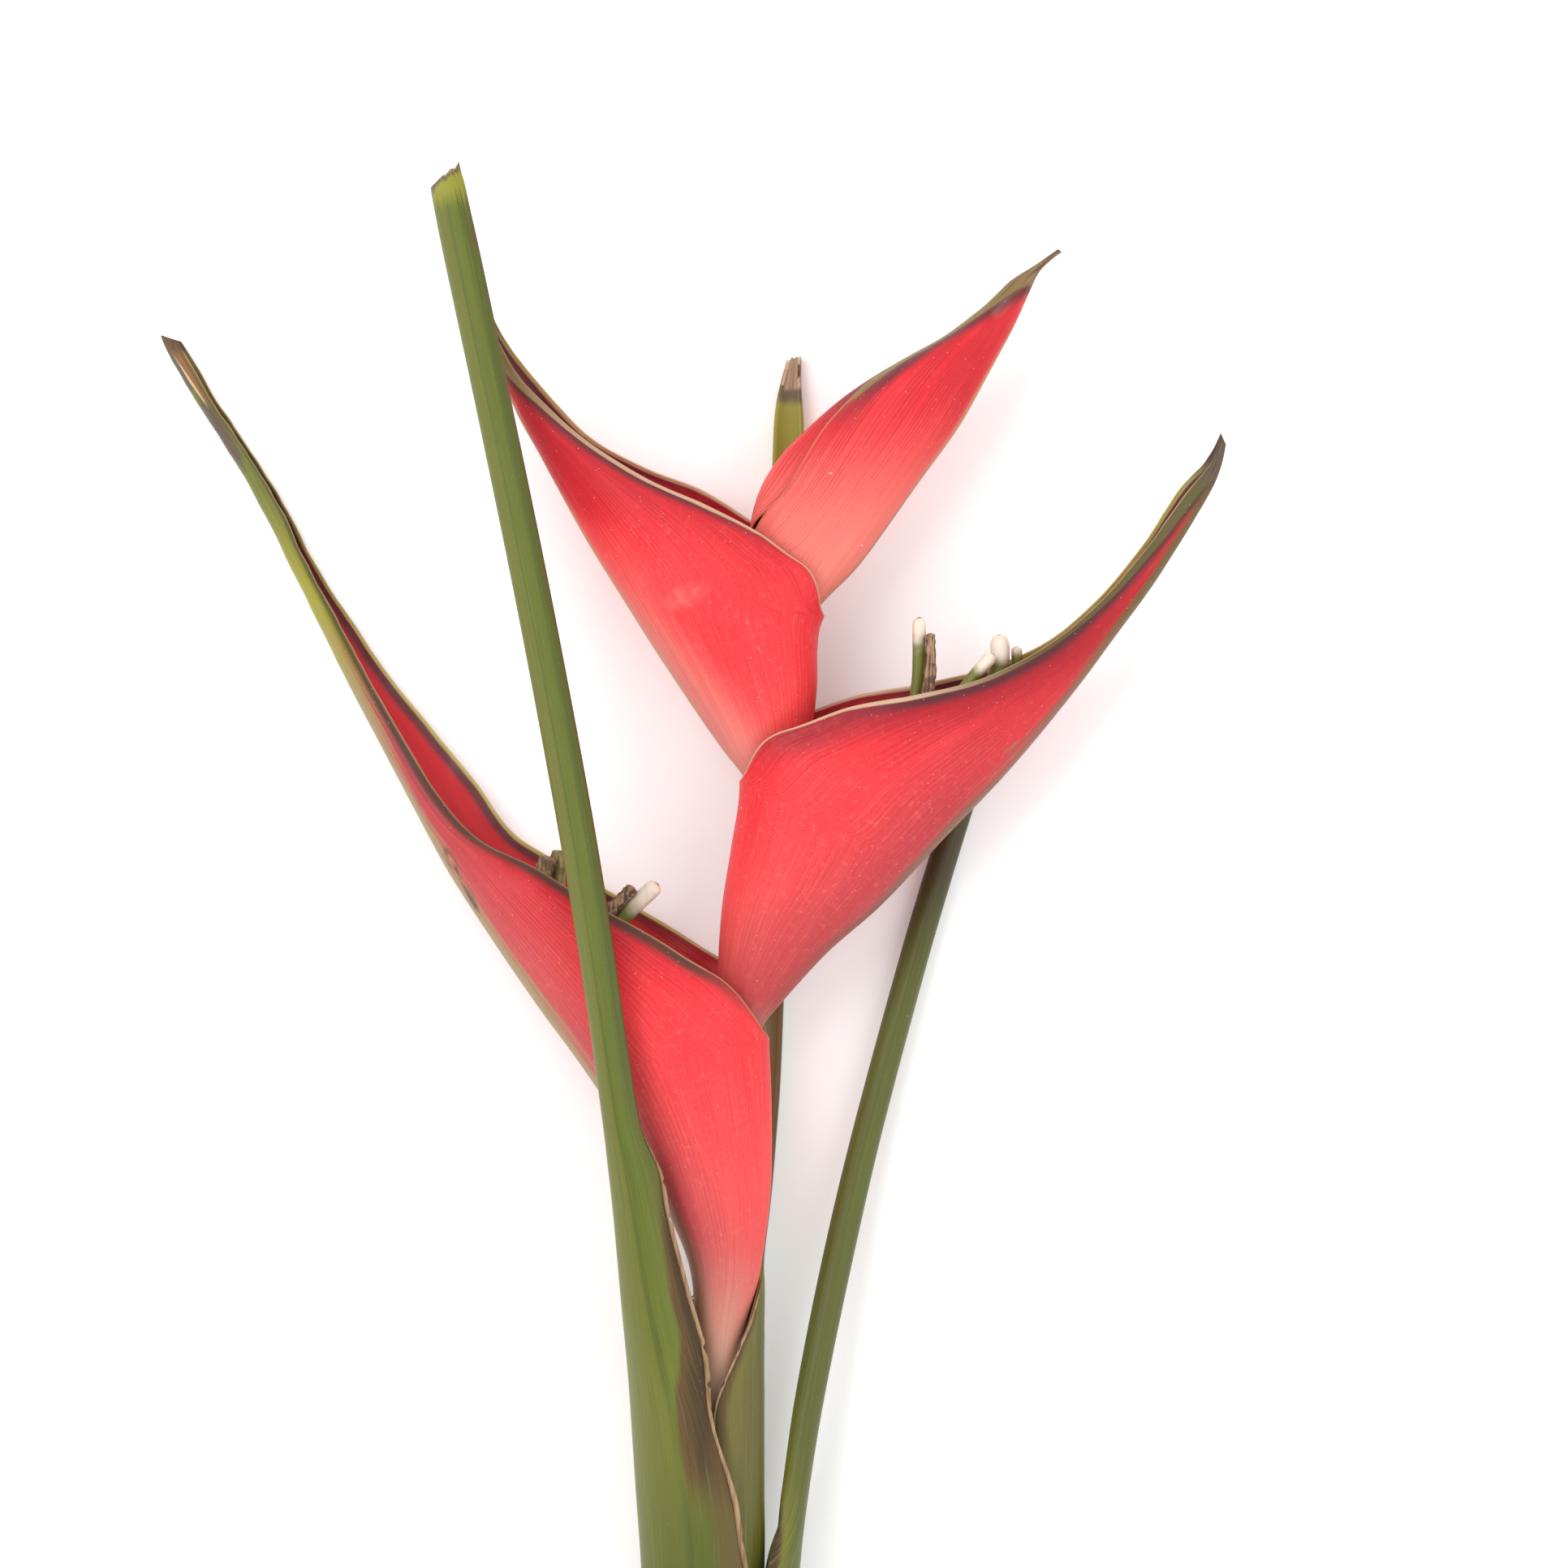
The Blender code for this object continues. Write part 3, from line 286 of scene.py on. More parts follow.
BRACT_LOOKS = [
    dict(BRACT_LOOK, deep=0.5, slim_tip=150.0, cream_gain=0.5, inner_old=(124, 112, 60),
         glow=0.25, glow_start=24.0, glow_end=100.0, glow_keel=-0.2,
         # Its dull rose beside the keel is partly painted shade.
         blush=0.95, blush_width=38.0, blush_shade=(188, 86, 88),
         keel=0.85, keel_width=10.0, keel_low=120.0, keel_slim=55.0,
         keel_shade=(150, 146, 100), keel_tip_shade=(168, 166, 112),
         foot_start=8.0, foot_end=60.0, foot_shade=(198, 158, 134),
         yellow_start=80.0, yellow_end=124.0,
         green=0.85, green_start=44.0, green_end=82.0, green_shade=(104, 114, 56),
         dried_end=7.0, dried_pale=(126, 92, 66),
         lip_width=0.7, lip_gain=0.3, lip_gain_end=120.0,
         band_width=1.9, band_start=0.0, band_full=30.0, band_shade=(62, 54, 46),
         patches=[(0.9, "scar", -65.2, 56.6, 4.6, 1.7, 118.0),
                  (0.6, "bract_salmon", -65.0, 56.2, 2.6, 0.8, 118.0),
                  (0.85, "dried", -59.4, 45.6, 5.0, 1.0, 118.0),
                  (0.8, "scar", -62.0, 50.0, 9.0, 0.5, 116.0),
                  (0.45, "bract_deep", -54.0, 60.0, 12.0, 6.0, 120.0),
                  (1.2, "bract_yellow", -124.6, 172.4, 14.0, 1.3, 124.0),
                  (1.3, (104, 88, 76), -128.4, 173.2, 15.0, 2.0, 122.0),
                  (1.6, (150, 104, 68), -136.8, 189.0, 12.0, 2.0, 122.0),
                  (1.3, (216, 186, 140), -136.9, 187.0, 10.0, 0.4, 124.0),
                  (1.3, (96, 88, 80), -140.2, 190.5, 10.0, 0.9, 121.0)]),
    dict(BRACT_LOOK, deep=0.65, dusk=1.0, dusk_width=13.5, slim_tip=70.0,
         glow=0.5, glow_start=20.0, glow_end=105.0,
         # Its dull rose beside the keel is partly painted shade.
         blush=0.9, blush_width=46.0, blush_stop=165.0, blush_shade=(176, 56, 64),
         keel=0.9, keel_width=8.5, keel_low=80.0,
         keel_shade=(126, 84, 62), keel_tip_shade=(98, 92, 46),
         foot_start=2.0, foot_end=26.0, foot_shade=(216, 170, 152),
         yellow_start=2.0, yellow_end=26.0, yellow_shade=(108, 92, 52),
         green_start=4.0, green_end=24.0, green_shade=(88, 84, 44),
         dried_end=15.0, dried_pale=(112, 100, 84), lip_gain=1.7, lip_gain_end=60.0,
         lip_young=(214, 180, 148), lip_turn=(40.0, 80.0), lip_shade=(98, 92, 48),
         band_width=2.0, band_start=20.0,
         patches=[(0.8, (150, 112, 70), 86.5, 87.0, 3.6, 0.4, 40.0),
                  (0.9, "floret_white", 134.2, 152.5, 1.8, 0.8, 60.0),
                  (0.9, "dried", 136.6, 153.6, 5.0, 1.0, 55.0)]),
    dict(BRACT_LOOK, glow=0.45, glow_start=0.0, glow_end=70.0,
         blush=0.8, blush_width=24.0, blush_stop=100.0, blush_shade=(226, 150, 138),
         keel=0.6, keel_width=4.0, foot_start=0.0, foot_end=6.0,
         yellow_start=2.0, yellow_end=26.0, green_end=10.0, dried_end=6.0,
         lip_young=(212, 172, 140), lip_turn=(40.0, 84.0), band_start=8.0, band_full=40.0,
         patches=[(0.25, "bract_salmon", -1.5, 127.8, 8.0, 4.0, 20.0),
                  (0.6, "bract_deep", -34.0, 162.0, 24.0, 9.0, 135.0)]),
    dict(BRACT_LOOK, deep=0.55, deep_width=16.0, deep_tip=95.0, dusk=0.0, cream_gain=0.0,
         glow=1.0, glow_start=24.0, glow_end=100.0, glow_keel=0.2,
         blush=0.5, blush_width=16.0, blush_stop=86.0, blush_shade="bract_salmon",
         keel=0.7, keel_width=3.4, keel_shade="bract_tan", foot_start=-30.0, foot_end=4.0,
         yellow_start=2.0, yellow_end=13.0, green_end=8.0, dried_end=13.0,
         lip_width=0.6, lip_gain=3.6, lip_gain_end=56.0,
         lip_young=(206, 112, 78), lip_turn=(48.0, 66.0),
         band=0.85, band_width=3.4, band_start=44.0, band_full=70.0,
         patches=[(0.5, "floret_white", 55.5, 191.0, 2.6, 0.9, 30.0),
                  (0.5, "bract_blush", 85.0, 207.0, 6.0, 2.0, 50.0),
                  (0.35, "floret_white", 84.5, 208.0, 6.0, 1.6, 45.0)]),
]

# The look of a floret: how dry it is, where its green ends, how long and how blunt its
# tip is, how deep its folds and its roughness are, its size, and where it gets its full
# width. Places and lengths are shares of the floret.
FRESH_LOOK = {"dry": 0.0, "green": 0.80, "tip": 0.06, "blunt": 2.2, "folds": 0.03,
              "rough": 0.02, "size": 1.0, "full_at": 0.9}
DRIED_LOOK = {"dry": 1.0, "green": 1.2, "tip": 0.05, "blunt": 3.0, "folds": 0.16,
              "rough": 0.3, "size": 1.0, "full_at": 0.7}
FLORET_LOOKS_BRACT_1 = [
    dict(FRESH_LOOK, green=0.82),
    dict(DRIED_LOOK, rough=0.5),
    dict(DRIED_LOOK, dry=0.55, folds=0.06, rough=0.08),
    dict(DRIED_LOOK, dry=0.8, folds=0.06, rough=0.12),
]
FLORET_LOOKS_BRACT_2 = [
    dict(FRESH_LOOK, green=0.88, size=1.12),
    DRIED_LOOK,
    dict(FRESH_LOOK, green=0.80, tip=0.12, size=1.12),
    dict(FRESH_LOOK, green=0.80, tip=0.09, size=1.1),
    dict(FRESH_LOOK, green=0.90),
]

# The look of a leaf. A side colour starts and ends at shares of a turn round the leaf;
# on the front stalk the side colours are painted light and painted shade.
# The brown margin narrows from brown_top down to brown_end, the stalk turns to its far
# shade between the two far heights, and the last four ends are lengths from its top.
LEAF_LOOK = {
    "main": "stalk", "second": "stalk_dark", "low_shade": "stalk", "sides": [],
    "brown": 0.95, "brown_top": -22.0, "brown_spread": 0.13, "brown_end": -112.0,
    "beside": 0.3, "far": (10.0, 66.0), "far_share": 0.0, "far_shade": (60, 44, 24),
    "lip_end": -300.0, "lip_shade": "papery", "inner": 0.3,
    "top_end": 0.5, "singe_end": 1.0, "torn_end": 0.2, "patches": [],
}
LEAF_LOOKS = {
    "leaf_left": dict(
        LEAF_LOOK, second=(88, 104, 26), low_shade=(66, 72, 12), beside=0.12,
        top_end=10.0, singe_end=1.6,
        # Painted light and shade: waxy grey green lightens the lit left side over the stalk's waxy
        # bloom, dark olive darkens the right side and tones the left down again, and tan marks the
        # left edge.
        sides=[(0.30, 0.322, 0.85, "stalk_waxy"), (0.235, 0.17, 0.6, "stalk_dark"),
               (0.285, 0.30, 0.35, "stalk_dark"), (0.472, 0.495, 0.4, "papery_edge")],
        patches=[(0.7, (96, 72, 34), 11.0, -120.0, 38.0, 8.0, 94.0),
                 (0.85, "papery", -58.7, 225.0, 3.7, 0.8, 100.0),
                 (0.8, "papery_edge", -66.0, 242.5, 1.8, 1.0, 0.0),
                 (0.7, "dried", -69.6, 238.0, 3.0, 0.8, 80.0)]),
    "leaf_back": dict(
        LEAF_LOOK, main=(102, 92, 40), second=(88, 88, 36), beside=0.1, far=(100.0, 150.0),
        brown=0.75, brown_top=-50.0, brown_spread=0.08, brown_end=-100.0,
        top_end=60.0, singe_end=13.0, torn_end=8.5,
        patches=[(0.8, "stalk_yellow", 18.6, -55.0, 4.0, 0.7, 90.0)]),
    "leaf_right": dict(
        LEAF_LOOK, main=(88, 92, 24), low_shade=(86, 94, 24), far_share=0.95, lip_end=40.0,
        brown_top=-112.0, brown_spread=0.12, brown_end=-150.0),
}

# The leaves with the slope and the raggedness of their tops and their ridges, each with
# its angle, spread and height. Then the papery margins: which edge of which leaf they
# stand on, from where to where, and how wide they are.
LEAVES = [
    ("leaf_left", LEAF_LEFT, LEAF_LEFT_TOP_SLOPE, 1.6, [(112, 16, 0.35)]),
    ("leaf_back", LEAF_BACK, LEAF_BACK_TOP_SLOPE, 2.5, []),
    ("leaf_right", LEAF_RIGHT, LEAF_RIGHT_TOP_SLOPE, 0.4, []),
]
MARGINS = [
    ("leaf_left_margin", LEAF_LEFT, "start", STEM_CUT_Y + 1, -18.0, 1.9),
    ("leaf_back_margin_left", LEAF_BACK, "start", -100.0, -54.0, 0.9),
    ("leaf_back_margin_right", LEAF_BACK, "end", -100.0, -54.0, 0.9),
]

# How close points are when they become one, in metres. Then how the bracts are cut up
# and shaped: the shares are of a whole, the rest is in millimetres, and a noise scale is
# how many waves there are to a millimetre.
WELD = 2e-6
BRACT_SIDE_STEPS = 36
LINES_AT_LEAST = 3
CROTCH_FINER = 1.5
COLUMN_SLIDE = 1.6
LENGTH_STEPS = 16
RIM_LOOSE = 9.0
LOOSE_START = 14.0
RIPPLE_SCALE = 0.11
FINE_RIPPLE_SCALE = 0.27
FINE_RIPPLE_SHARE = 0.5
BODY_SWELL = 0.35
SWELL_SCALE = 0.045
RIM_TAPER = 7.0
TIP_TAPER = 30.0
TIP_SHARE = 0.1
THIN_SHARE = 0.35

# The leaf stalks, and the papery margins that stand out from their sheaths.
RING_OUTER_POINTS = 60
RING_INNER_POINTS = 24
SLANT_LENGTH = 12.0
TEAR_SCALE = 0.9
RIBBON_COLUMNS = 5
RIBBON_FINER = 0.7
RIBBON_WALL = 0.3
RIBBON_FADE = 12.0
RIBBON_ROOT = 0.5
RIBBON_LIFT = 0.12
RIBBON_CURL = 0.35
RIBBON_WAVE_SCALE = 0.09
RIBBON_WIDTH_SCALE = 0.035
NICK_SCALE = 0.31
NICK_START = 0.25
NICK_GAIN = 2.2
NICK_DEEPEST = 0.15

# The flower stalk and the florets.
STALK_STEPS = 8
STALK_SIDES = 32
FLORET_STEPS = 60
FLORET_SIDES = 20
FLORET_ROUNDING = 0.6
FLORET_LEAST = 0.05

# The stage, in metres but for the sensor, which is in millimetres. The view is as wide
# as asked at the height of the bracts. A light has a name, a place, a size and a power.
FLOOR_HALF = 4.0
FLOOR_DROP = 0.0002
FLOOR_GLOW = 0.14
SKY_STRENGTH = 0.86
LIGHT_AIM = (0.02, 0.05, 0.02)
LIGHTS = [("key", (-0.9, 0.7, 1.6), 1.2, 17.0), ("fill", (1.1, -0.3, 1.3), 1.6, 8.0)]
SENSOR_WIDTH = 36.0
FAR_CLIP = 20.0
VIEW_CENTRE = (0.02508, 0.077)
BRACT_HEIGHT = 0.03


def srgb(red, green, blue):
    """A colour from its 0 to 255 screen values, as the linear values a shader takes."""
    linear = []
    for value in (red, green, blue):
        share = value / 255
        linear.append(share / 12.92 if share <= 0.04045 else ((share + 0.055) / 1.055) ** 2.4)
    return tuple(linear)


def colour(name, about, screen):
    """A colour that a user can change."""
    return FloatVectorProperty(name=name, description=about, subtype="COLOR", size=3,
                               min=0.0, max=1.0, default=srgb(*screen))


class HeliconiaSizes(bpy.types.PropertyGroup):
    """The sizes of the dressed stem."""

    bract_wall: FloatProperty(
        name="Bract wall", description="Thickness of a bract in its middle",
        default=1.15 * MM, min=0.6 * MM, max=1.2 * MM, unit="LENGTH", precision=5)
    bract_step: FloatProperty(
        name="Bract step", description="Distance between two cuts across a bract",
        default=1.5 * MM, min=0.8 * MM, max=6 * MM, unit="LENGTH", precision=5)
    leaf_step: FloatProperty(
        name="Leaf step", description="Distance between two cuts across a leaf stalk",
        default=1.6 * MM, min=0.8 * MM, max=8 * MM, unit="LENGTH", precision=5)
    margin_wave: FloatProperty(
        name="Margin wave", description="How far the free edges of the bracts wave",
        default=0.55 * MM, min=0.0, max=2 * MM, unit="LENGTH", precision=5)
    vein_relief: FloatProperty(
        name="Vein relief", description="Height of the veins in the shading",
        default=0.12 * MM, min=0.0, max=1 * MM, unit="LENGTH", precision=5)
    camera_height: FloatProperty(
        name="Camera height", description="Height of the camera above the stem",
        default=4.0, min=1.0, max=10.0, unit="LENGTH")
    view_width: FloatProperty(
        name="View width", description="Width of the picture at the height of the bracts",
        default=0.42504, min=0.2, max=1.0, unit="LENGTH")


class HeliconiaColours(bpy.types.PropertyGroup):
    """The colours of the dressed stem."""

    bract: colour("Bract", "Coral red in the middle of a bract", (249, 53, 60))
    bract_deep: colour("Bract, deep", "Crimson near the free edges", (190, 14, 30))
    # Also the crimson of the painted shadow inside the bracts' free edges.
    bract_vein: colour("Bract vein", "Dark crimson of the fine veins", (160, 20, 36))
    bract_salmon: colour("Bract salmon", "Salmon of the lower parts", (244, 134, 120))
    bract_blush: colour("Bract blush", "Dull rose beside the keel", (212, 104, 98))
    bract_foot: colour("Bract foot", "Pale olive at the foot of a bract", (176, 146, 104))
    bract_keel: colour("Bract keel", "Cream green along the keel", (176, 166, 108))
    bract_tan: colour("Bract keel, tan", "Tan brown along the keel", (146, 112, 74))
    bract_edge: colour("Bract edge", "Pinkish tan of the very edge", (196, 146, 116))
    bract_lip: colour("Bract lip", "Olive tan of the free edge", (132, 112, 60))
    bract_cream: colour("Bract cream", "Cream yellow inside the free edge", (188, 178, 104))
    # Painted shade along the bracts' free edges, and the real dark stains of dried florets.
    bract_band: colour("Bract band", "Dark band below the free edge", (76, 40, 46))
    bract_green: colour("Bract tip", "Green of a bract's long tip", (98, 116, 48))
    bract_yellow: colour("Bract yellow", "Yellow green between the green and the red", (160, 152, 60))
    bract_inside: colour("Bract inside", "Red of the inner face", (208, 22, 34))
    dried: colour("Dried", "Grey brown of a dried tip", (92, 74, 62))
    scar: colour("Scar", "Brown of old scars", (104, 74, 52))
    stalk: colour("Leaf stalk", "Green of a leaf stalk", (94, 104, 26))
    # Also painted light, on the lit left side of the front leaf stalk.
    stalk_waxy: colour("Leaf stalk, waxy", "Waxy grey green of its side", (126, 128, 50))
    # Also painted shade: on the front stalk's right side, in the air channels of the cuts, and in the
    # bracts' rim shadow near their tips.
    stalk_dark: colour("Leaf stalk, dark", "Dark olive of the shaded stalks", (68, 74, 18))
    stalk_yellow: colour("Leaf stalk, yellow", "Yellow green of old stalks", (148, 146, 44))
    papery: colour("Old sheath", "Warm brown of the old sheath", (98, 70, 32))
    papery_dark: colour("Old sheath, dark", "Purple brown streaks of the old sheath", (56, 36, 22))
    papery_edge: colour("Papery edge", "Tan of the thin dry edge", (174, 140, 104))
    fibre: colour("Fibre", "Pale tan of torn fibres", (196, 164, 138))
    floret_white: colour("Floret tip", "Cream white of a fresh floret", (236, 220, 202))
    floret_green: colour("Floret foot", "Green of a floret's lower half", (112, 116, 44))
    floret_dried: colour("Dried floret", "Brown of a dried floret", (92, 72, 58))
    pith: colour("Cut face", "Pale pith of a fresh cut", (196, 190, 150))
    floor: colour("Floor", "Plain pale floor", (251, 251, 251))


class Value:
    """A socket of a material that takes part in sums."""

    def __init__(self, paint, socket):
        self.paint = paint
        self.socket = socket

    def sum(self, operation, *others):
        """Add the Math node of one operation."""
        made = self.paint.node("ShaderNodeMath", {"operation": operation}, dict(enumerate(others)))
        return Value(self.paint, made.outputs[0])

    def __add__(self, other):
        return self.sum("ADD", self, other)

    __radd__ = __add__

    def __sub__(self, other):
        return self.sum("SUBTRACT", self, other)

    def __rsub__(self, other):
        return self.sum("SUBTRACT", other, self)

    def __mul__(self, other):
        return self.sum("MULTIPLY", self, other)

    __rmul__ = __mul__

    def __truediv__(self, other):
        return self.sum("DIVIDE", self, other)

    def __pow__(self, other):
        return self.sum("POWER", self, other)

    def high(self, other):
        """The larger of two values."""
        return self.sum("MAXIMUM", self, other)

    def low(self, other):
        """The smaller of two values."""
        return self.sum("MINIMUM", self, other)

    def wave(self):
        """0 to 1 and back for each whole number that the value grows by."""
        return self.sum("SINE", self * (2 * math.pi)) * 0.5 + 0.5

    def ramp(self, start, end):
        """0 at start and 1 at end, on a smooth step between them."""
        made = self.paint.node("ShaderNodeMapRange", {"interpolation_type": "SMOOTHSTEP"},
                               {0: self, 1: start, 2: end})
        return Value(self.paint, made.outputs[0])


class Paint:
    """The nodes of one material."""

    def __init__(self, name):
        self.material = bpy.data.materials.new(name)
        self.material.use_nodes = True
        self.tree = self.material.node_tree
        self.tree.nodes.clear()

    def node(self, kind, choices=None, sockets=None):
        """Add a node: its settings come first, then the values or links of its sockets."""
        made = self.tree.nodes.new(kind)
        for name, value in (choices or {}).items():
            setattr(made, name, value)
        for name, value in (sockets or {}).items():
            socket = made.inputs[name]
            if isinstance(value, Value):
                self.tree.links.new(value.socket, socket)
            elif socket.type == "RGBA" and len(value) == 3:
                socket.default_value = (*value, 1.0)
            else:
                socket.default_value = value
        return made

    def attribute(self, name):
        """A number that the mesh carries at each of its points."""
        made = self.node("ShaderNodeAttribute", {"attribute_name": name})
        return Value(self, made.outputs["Fac"])

    def place(self):
        """The point's place on the stem, in millimetres, as x, y and z."""
        coords = self.node("ShaderNodeTexCoord")
        scaled = self.node("ShaderNodeVectorMath", {"operation": "SCALE"},
                           {0: Value(self, coords.outputs["Object"]), "Scale": 1 / MM})
        parts = self.node("ShaderNodeSeparateXYZ", {}, {0: Value(self, scaled.outputs[0])})
        return [Value(self, socket) for socket in parts.outputs]

    def vector(self, x, y, z=0.0):
        """A vector from three numbers."""
        made = self.node("ShaderNodeCombineXYZ", {}, {0: x, 1: y, 2: z})
        return Value(self, made.outputs[0])

    def noise(self, vector, scale=1.0, detail=2.0, rough=0.5):
        """Soft noise from 0 to 1."""
        sockets = {"Vector": vector, "Scale": scale, "Detail": detail, "Roughness": rough}
        return Value(self, self.node("ShaderNodeTexNoise", {}, sockets).outputs[0])

    def cells(self, vector, scale=1.0, feature="F1"):
        """Distance to the nearest of many scattered points, in cells."""
        sockets = {"Vector": vector, "Scale": scale}
        made = self.node("ShaderNodeTexVoronoi", {"feature": feature}, sockets)
        return Value(self, made.outputs["Distance"])

    def mix(self, share, first, second):
        """Go from the first colour to the second by a share."""
        made = self.node("ShaderNodeMix", {"data_type": "RGBA"}, {0: share, 6: first, 7: second})
        return Value(self, made.outputs[2])

    def patch(self, place, x, y, length, width, turn=0.0):
        """1 in an oval patch about a point of the stem, in millimetres, and 0 away from it."""
        cosine, sine = math.cos(math.radians(turn)), math.sin(math.radians(turn))
        across, up = place[0] - x, place[1] - y
        run = (across * cosine + up * sine) / length
        side = (up * cosine - across * sine) / width
        return (run * run + side * side).ramp(1.0, 0.1)

    def dots(self, place, size, spread, stretch=(1.0, 1.0, 1.0)):
        """Scattered dots: their radius and their spread are in millimetres."""
        spot = self.vector(*[axis * share for axis, share in zip(place, stretch)])
        return self.cells(spot, 1 / spread).ramp(size / spread, size / spread * 0.4)

    def finish(self, base, rough, height=None, relief=1.0, **fixed):
        """Close the material with its shader and, if there is a height, its bump."""
        sockets = {"Base Color": base, "Roughness": rough}
        if height is not None:
            raised = {"Height": height, "Strength": 1.0, "Distance": relief}
            sockets["Normal"] = Value(self, self.node("ShaderNodeBump", {}, raised).outputs[0])
        for name, value in fixed.items():
            sockets[name.replace("_", " ")] = value
        shader = self.node("ShaderNodeBsdfPrincipled", {}, sockets)
        out = self.node("ShaderNodeOutputMaterial")
        self.tree.links.new(shader.outputs[0], out.inputs[0])
        return self.material


def flatten(values):
    """Turn a nested station into one flat list of numbers."""
    flat = []
    for value in values:
        if isinstance(value, (tuple, list)):
            flat.extend(flatten(value))
        else:
            flat.append(float(value))
    return flat


def blend_rows(rows, place):
    """Read a table of rows at a place between them, on a smooth curve."""
    last = len(rows) - 1
    low = min(int(place), last - 1)
    share = place - low
    before = rows[max(low - 1, 0)]
    start = rows[low]
    end = rows[low + 1]
    after = rows[min(low + 2, last)]
    result = []
    for p0, p1, p2, p3 in zip(before, start, end, after):
        bend = (2 * p0 - 5 * p1 + 4 * p2 - p3) * share ** 2
        twist = (3 * p1 - p0 - 3 * p2 + p3) * share ** 3
        result.append(0.5 * (2 * p1 + (p2 - p0) * share + bend + twist))
    return result


def rounded_opening(share, angle_after):
    """The margin angle just past the crotch, where a slanting cut leaves a tube."""
    return 180 - (180 - angle_after) * math.sqrt(share)


def open_rows(stations):
    """Rows of an open bract: each margin point is moved out to the end of the full oval."""
    rows = []
    for station in stations:
        kx, ky, nx, ny, fx, fy, height, half, angle = flatten(station)
        reach = 2 / (1 - math.cos(math.radians(angle)))
        near = (kx + (nx - kx) * reach, ky + (ny - ky) * reach)
        far = (kx + (fx - kx) * reach, ky + (fy - ky) * reach)
        rows.append([kx, ky, *near, *far, height, half, angle, angle])
    return rows


def rolled_rows(stations):
    """Rows of the rolled bract, in the same order as an open bract's."""
    rows = []
    for station in stations:
        kx, ky, ex, ey, height, half, near_angle, far_angle = flatten(station)
        rows.append([kx, ky, ex, ey, ex, ey, height, half, near_angle, far_angle])
    return rows


def bract_cut(rows, crotch, place):
    """One cut across a bract: keel, near and far end of its oval, height, shape and angles."""
    kx, ky, nx, ny, fx, fy, height, half, near_angle, far_angle = blend_rows(rows, place)
    if place <= crotch:
        near_angle = far_angle = 180
        nx = fx = (nx + fx) / 2
        ny = fy = (ny + fy) / 2
    elif place < crotch + 1:
        near_angle = rounded_opening(place - crotch, rows[crotch + 1][8])
        if rows[crotch + 1][9] < 180:
            far_angle = rounded_opening(place - crotch, rows[crotch + 1][9])
    return Vector((kx, ky)), Vector((nx, ny)), Vector((fx, fy)), height, half, near_angle, far_angle


def bract_point(cut, share, roll):
    """A point of the outer face and the way out there: shares run from -1, near, to 1, far."""
    keel, near, far, height, half, near_angle, far_angle = cut
    side = 1 if share < 0 else -1
    across = (near if share < 0 else far) - keel
    margin_angle = near_angle if share < 0 else far_angle
    reach = abs(share)
    angle = math.radians(180 * reach - (180 - margin_angle) * reach ** COLUMN_SLIDE)
    if angle > math.pi:
        half -= roll
    flat = keel + across * ((1 - math.cos(angle)) / 2)
    point = Vector((flat.x, flat.y, max(height + side * half * math.sin(angle), 0.0)))
    level = across.normalized() * (-math.cos(angle) * half)
    out = Vector((level.x, level.y, side * math.sin(angle) * across.length / 2))
    return point, out.normalized()


def bract_lines(rows, crotch, step):
    """The lines across a bract, about one step apart: a station and a share past it."""
    lines = []
    for station in range(len(rows) - 1):
        start = rows[station]
        end = rows[station + 1]
        run = max(math.dist(start[:2], end[:2]), math.dist(start[2:4], end[2:4]))
        count = max(LINES_AT_LEAST, round(run * MM / step))
        if station == crotch:
            count = round(count * CROTCH_FINER)
        lines.extend((station, index / count) for index in range(count))
    lines.append((len(rows) - 2, 1.0))
    return lines


def keel_lengths(rows):
    """How far along the keel each small step of a station lies."""
    steps = LENGTH_STEPS * (len(rows) - 1)
    points = [Vector(blend_rows(rows, step / LENGTH_STEPS)[:2]) for step in range(steps + 1)]
    lengths = [0.0]
    for before, after in zip(points, points[1:]):
        lengths.append(lengths[-1] + (after - before).length)
    return lengths


def read_length(lengths, place):
    """The length along the keel at any place."""
    low = min(int(place * LENGTH_STEPS), len(lengths) - 2)
    share = place * LENGTH_STEPS - low
    return lengths[low] + (lengths[low + 1] - lengths[low]) * share


def close_shape(shape):
    """Merge a shape's seams, close its ends, face it outwards, and give back its end caps."""
    bmesh.ops.remove_doubles(shape, verts=shape.verts, dist=WELD)
    ends = [edge for edge in shape.edges if edge.is_boundary]
    caps = bmesh.ops.holes_fill(shape, edges=ends, sides=0)["faces"]
    bmesh.ops.recalc_face_normals(shape, faces=shape.faces)
    for face in shape.faces:
        face.smooth = True
    return caps


def mark_cuts(caps):
    """Keep the cut ends flat and give them the second material."""
    for face in caps:
        face.smooth = False
        face.material_index = 1


def make_mesh(name, shape, paints):
    """Turn a shape into a mesh with its materials."""
    mesh = bpy.data.meshes.new(name)
    shape.to_mesh(mesh)
    shape.free()
    for paint in paints:
        mesh.materials.append(paint)
    return mesh


def add_piece(name, mesh, nodes):
    """Put a mesh in the scene as a piece that rides on the stem and stands for its nodes."""
    piece = bpy.data.objects.new(name, mesh)
    bpy.context.scene.collection.objects.link(piece)
    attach(piece, BODY)
    if nodes:
        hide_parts(*nodes)
    return piece


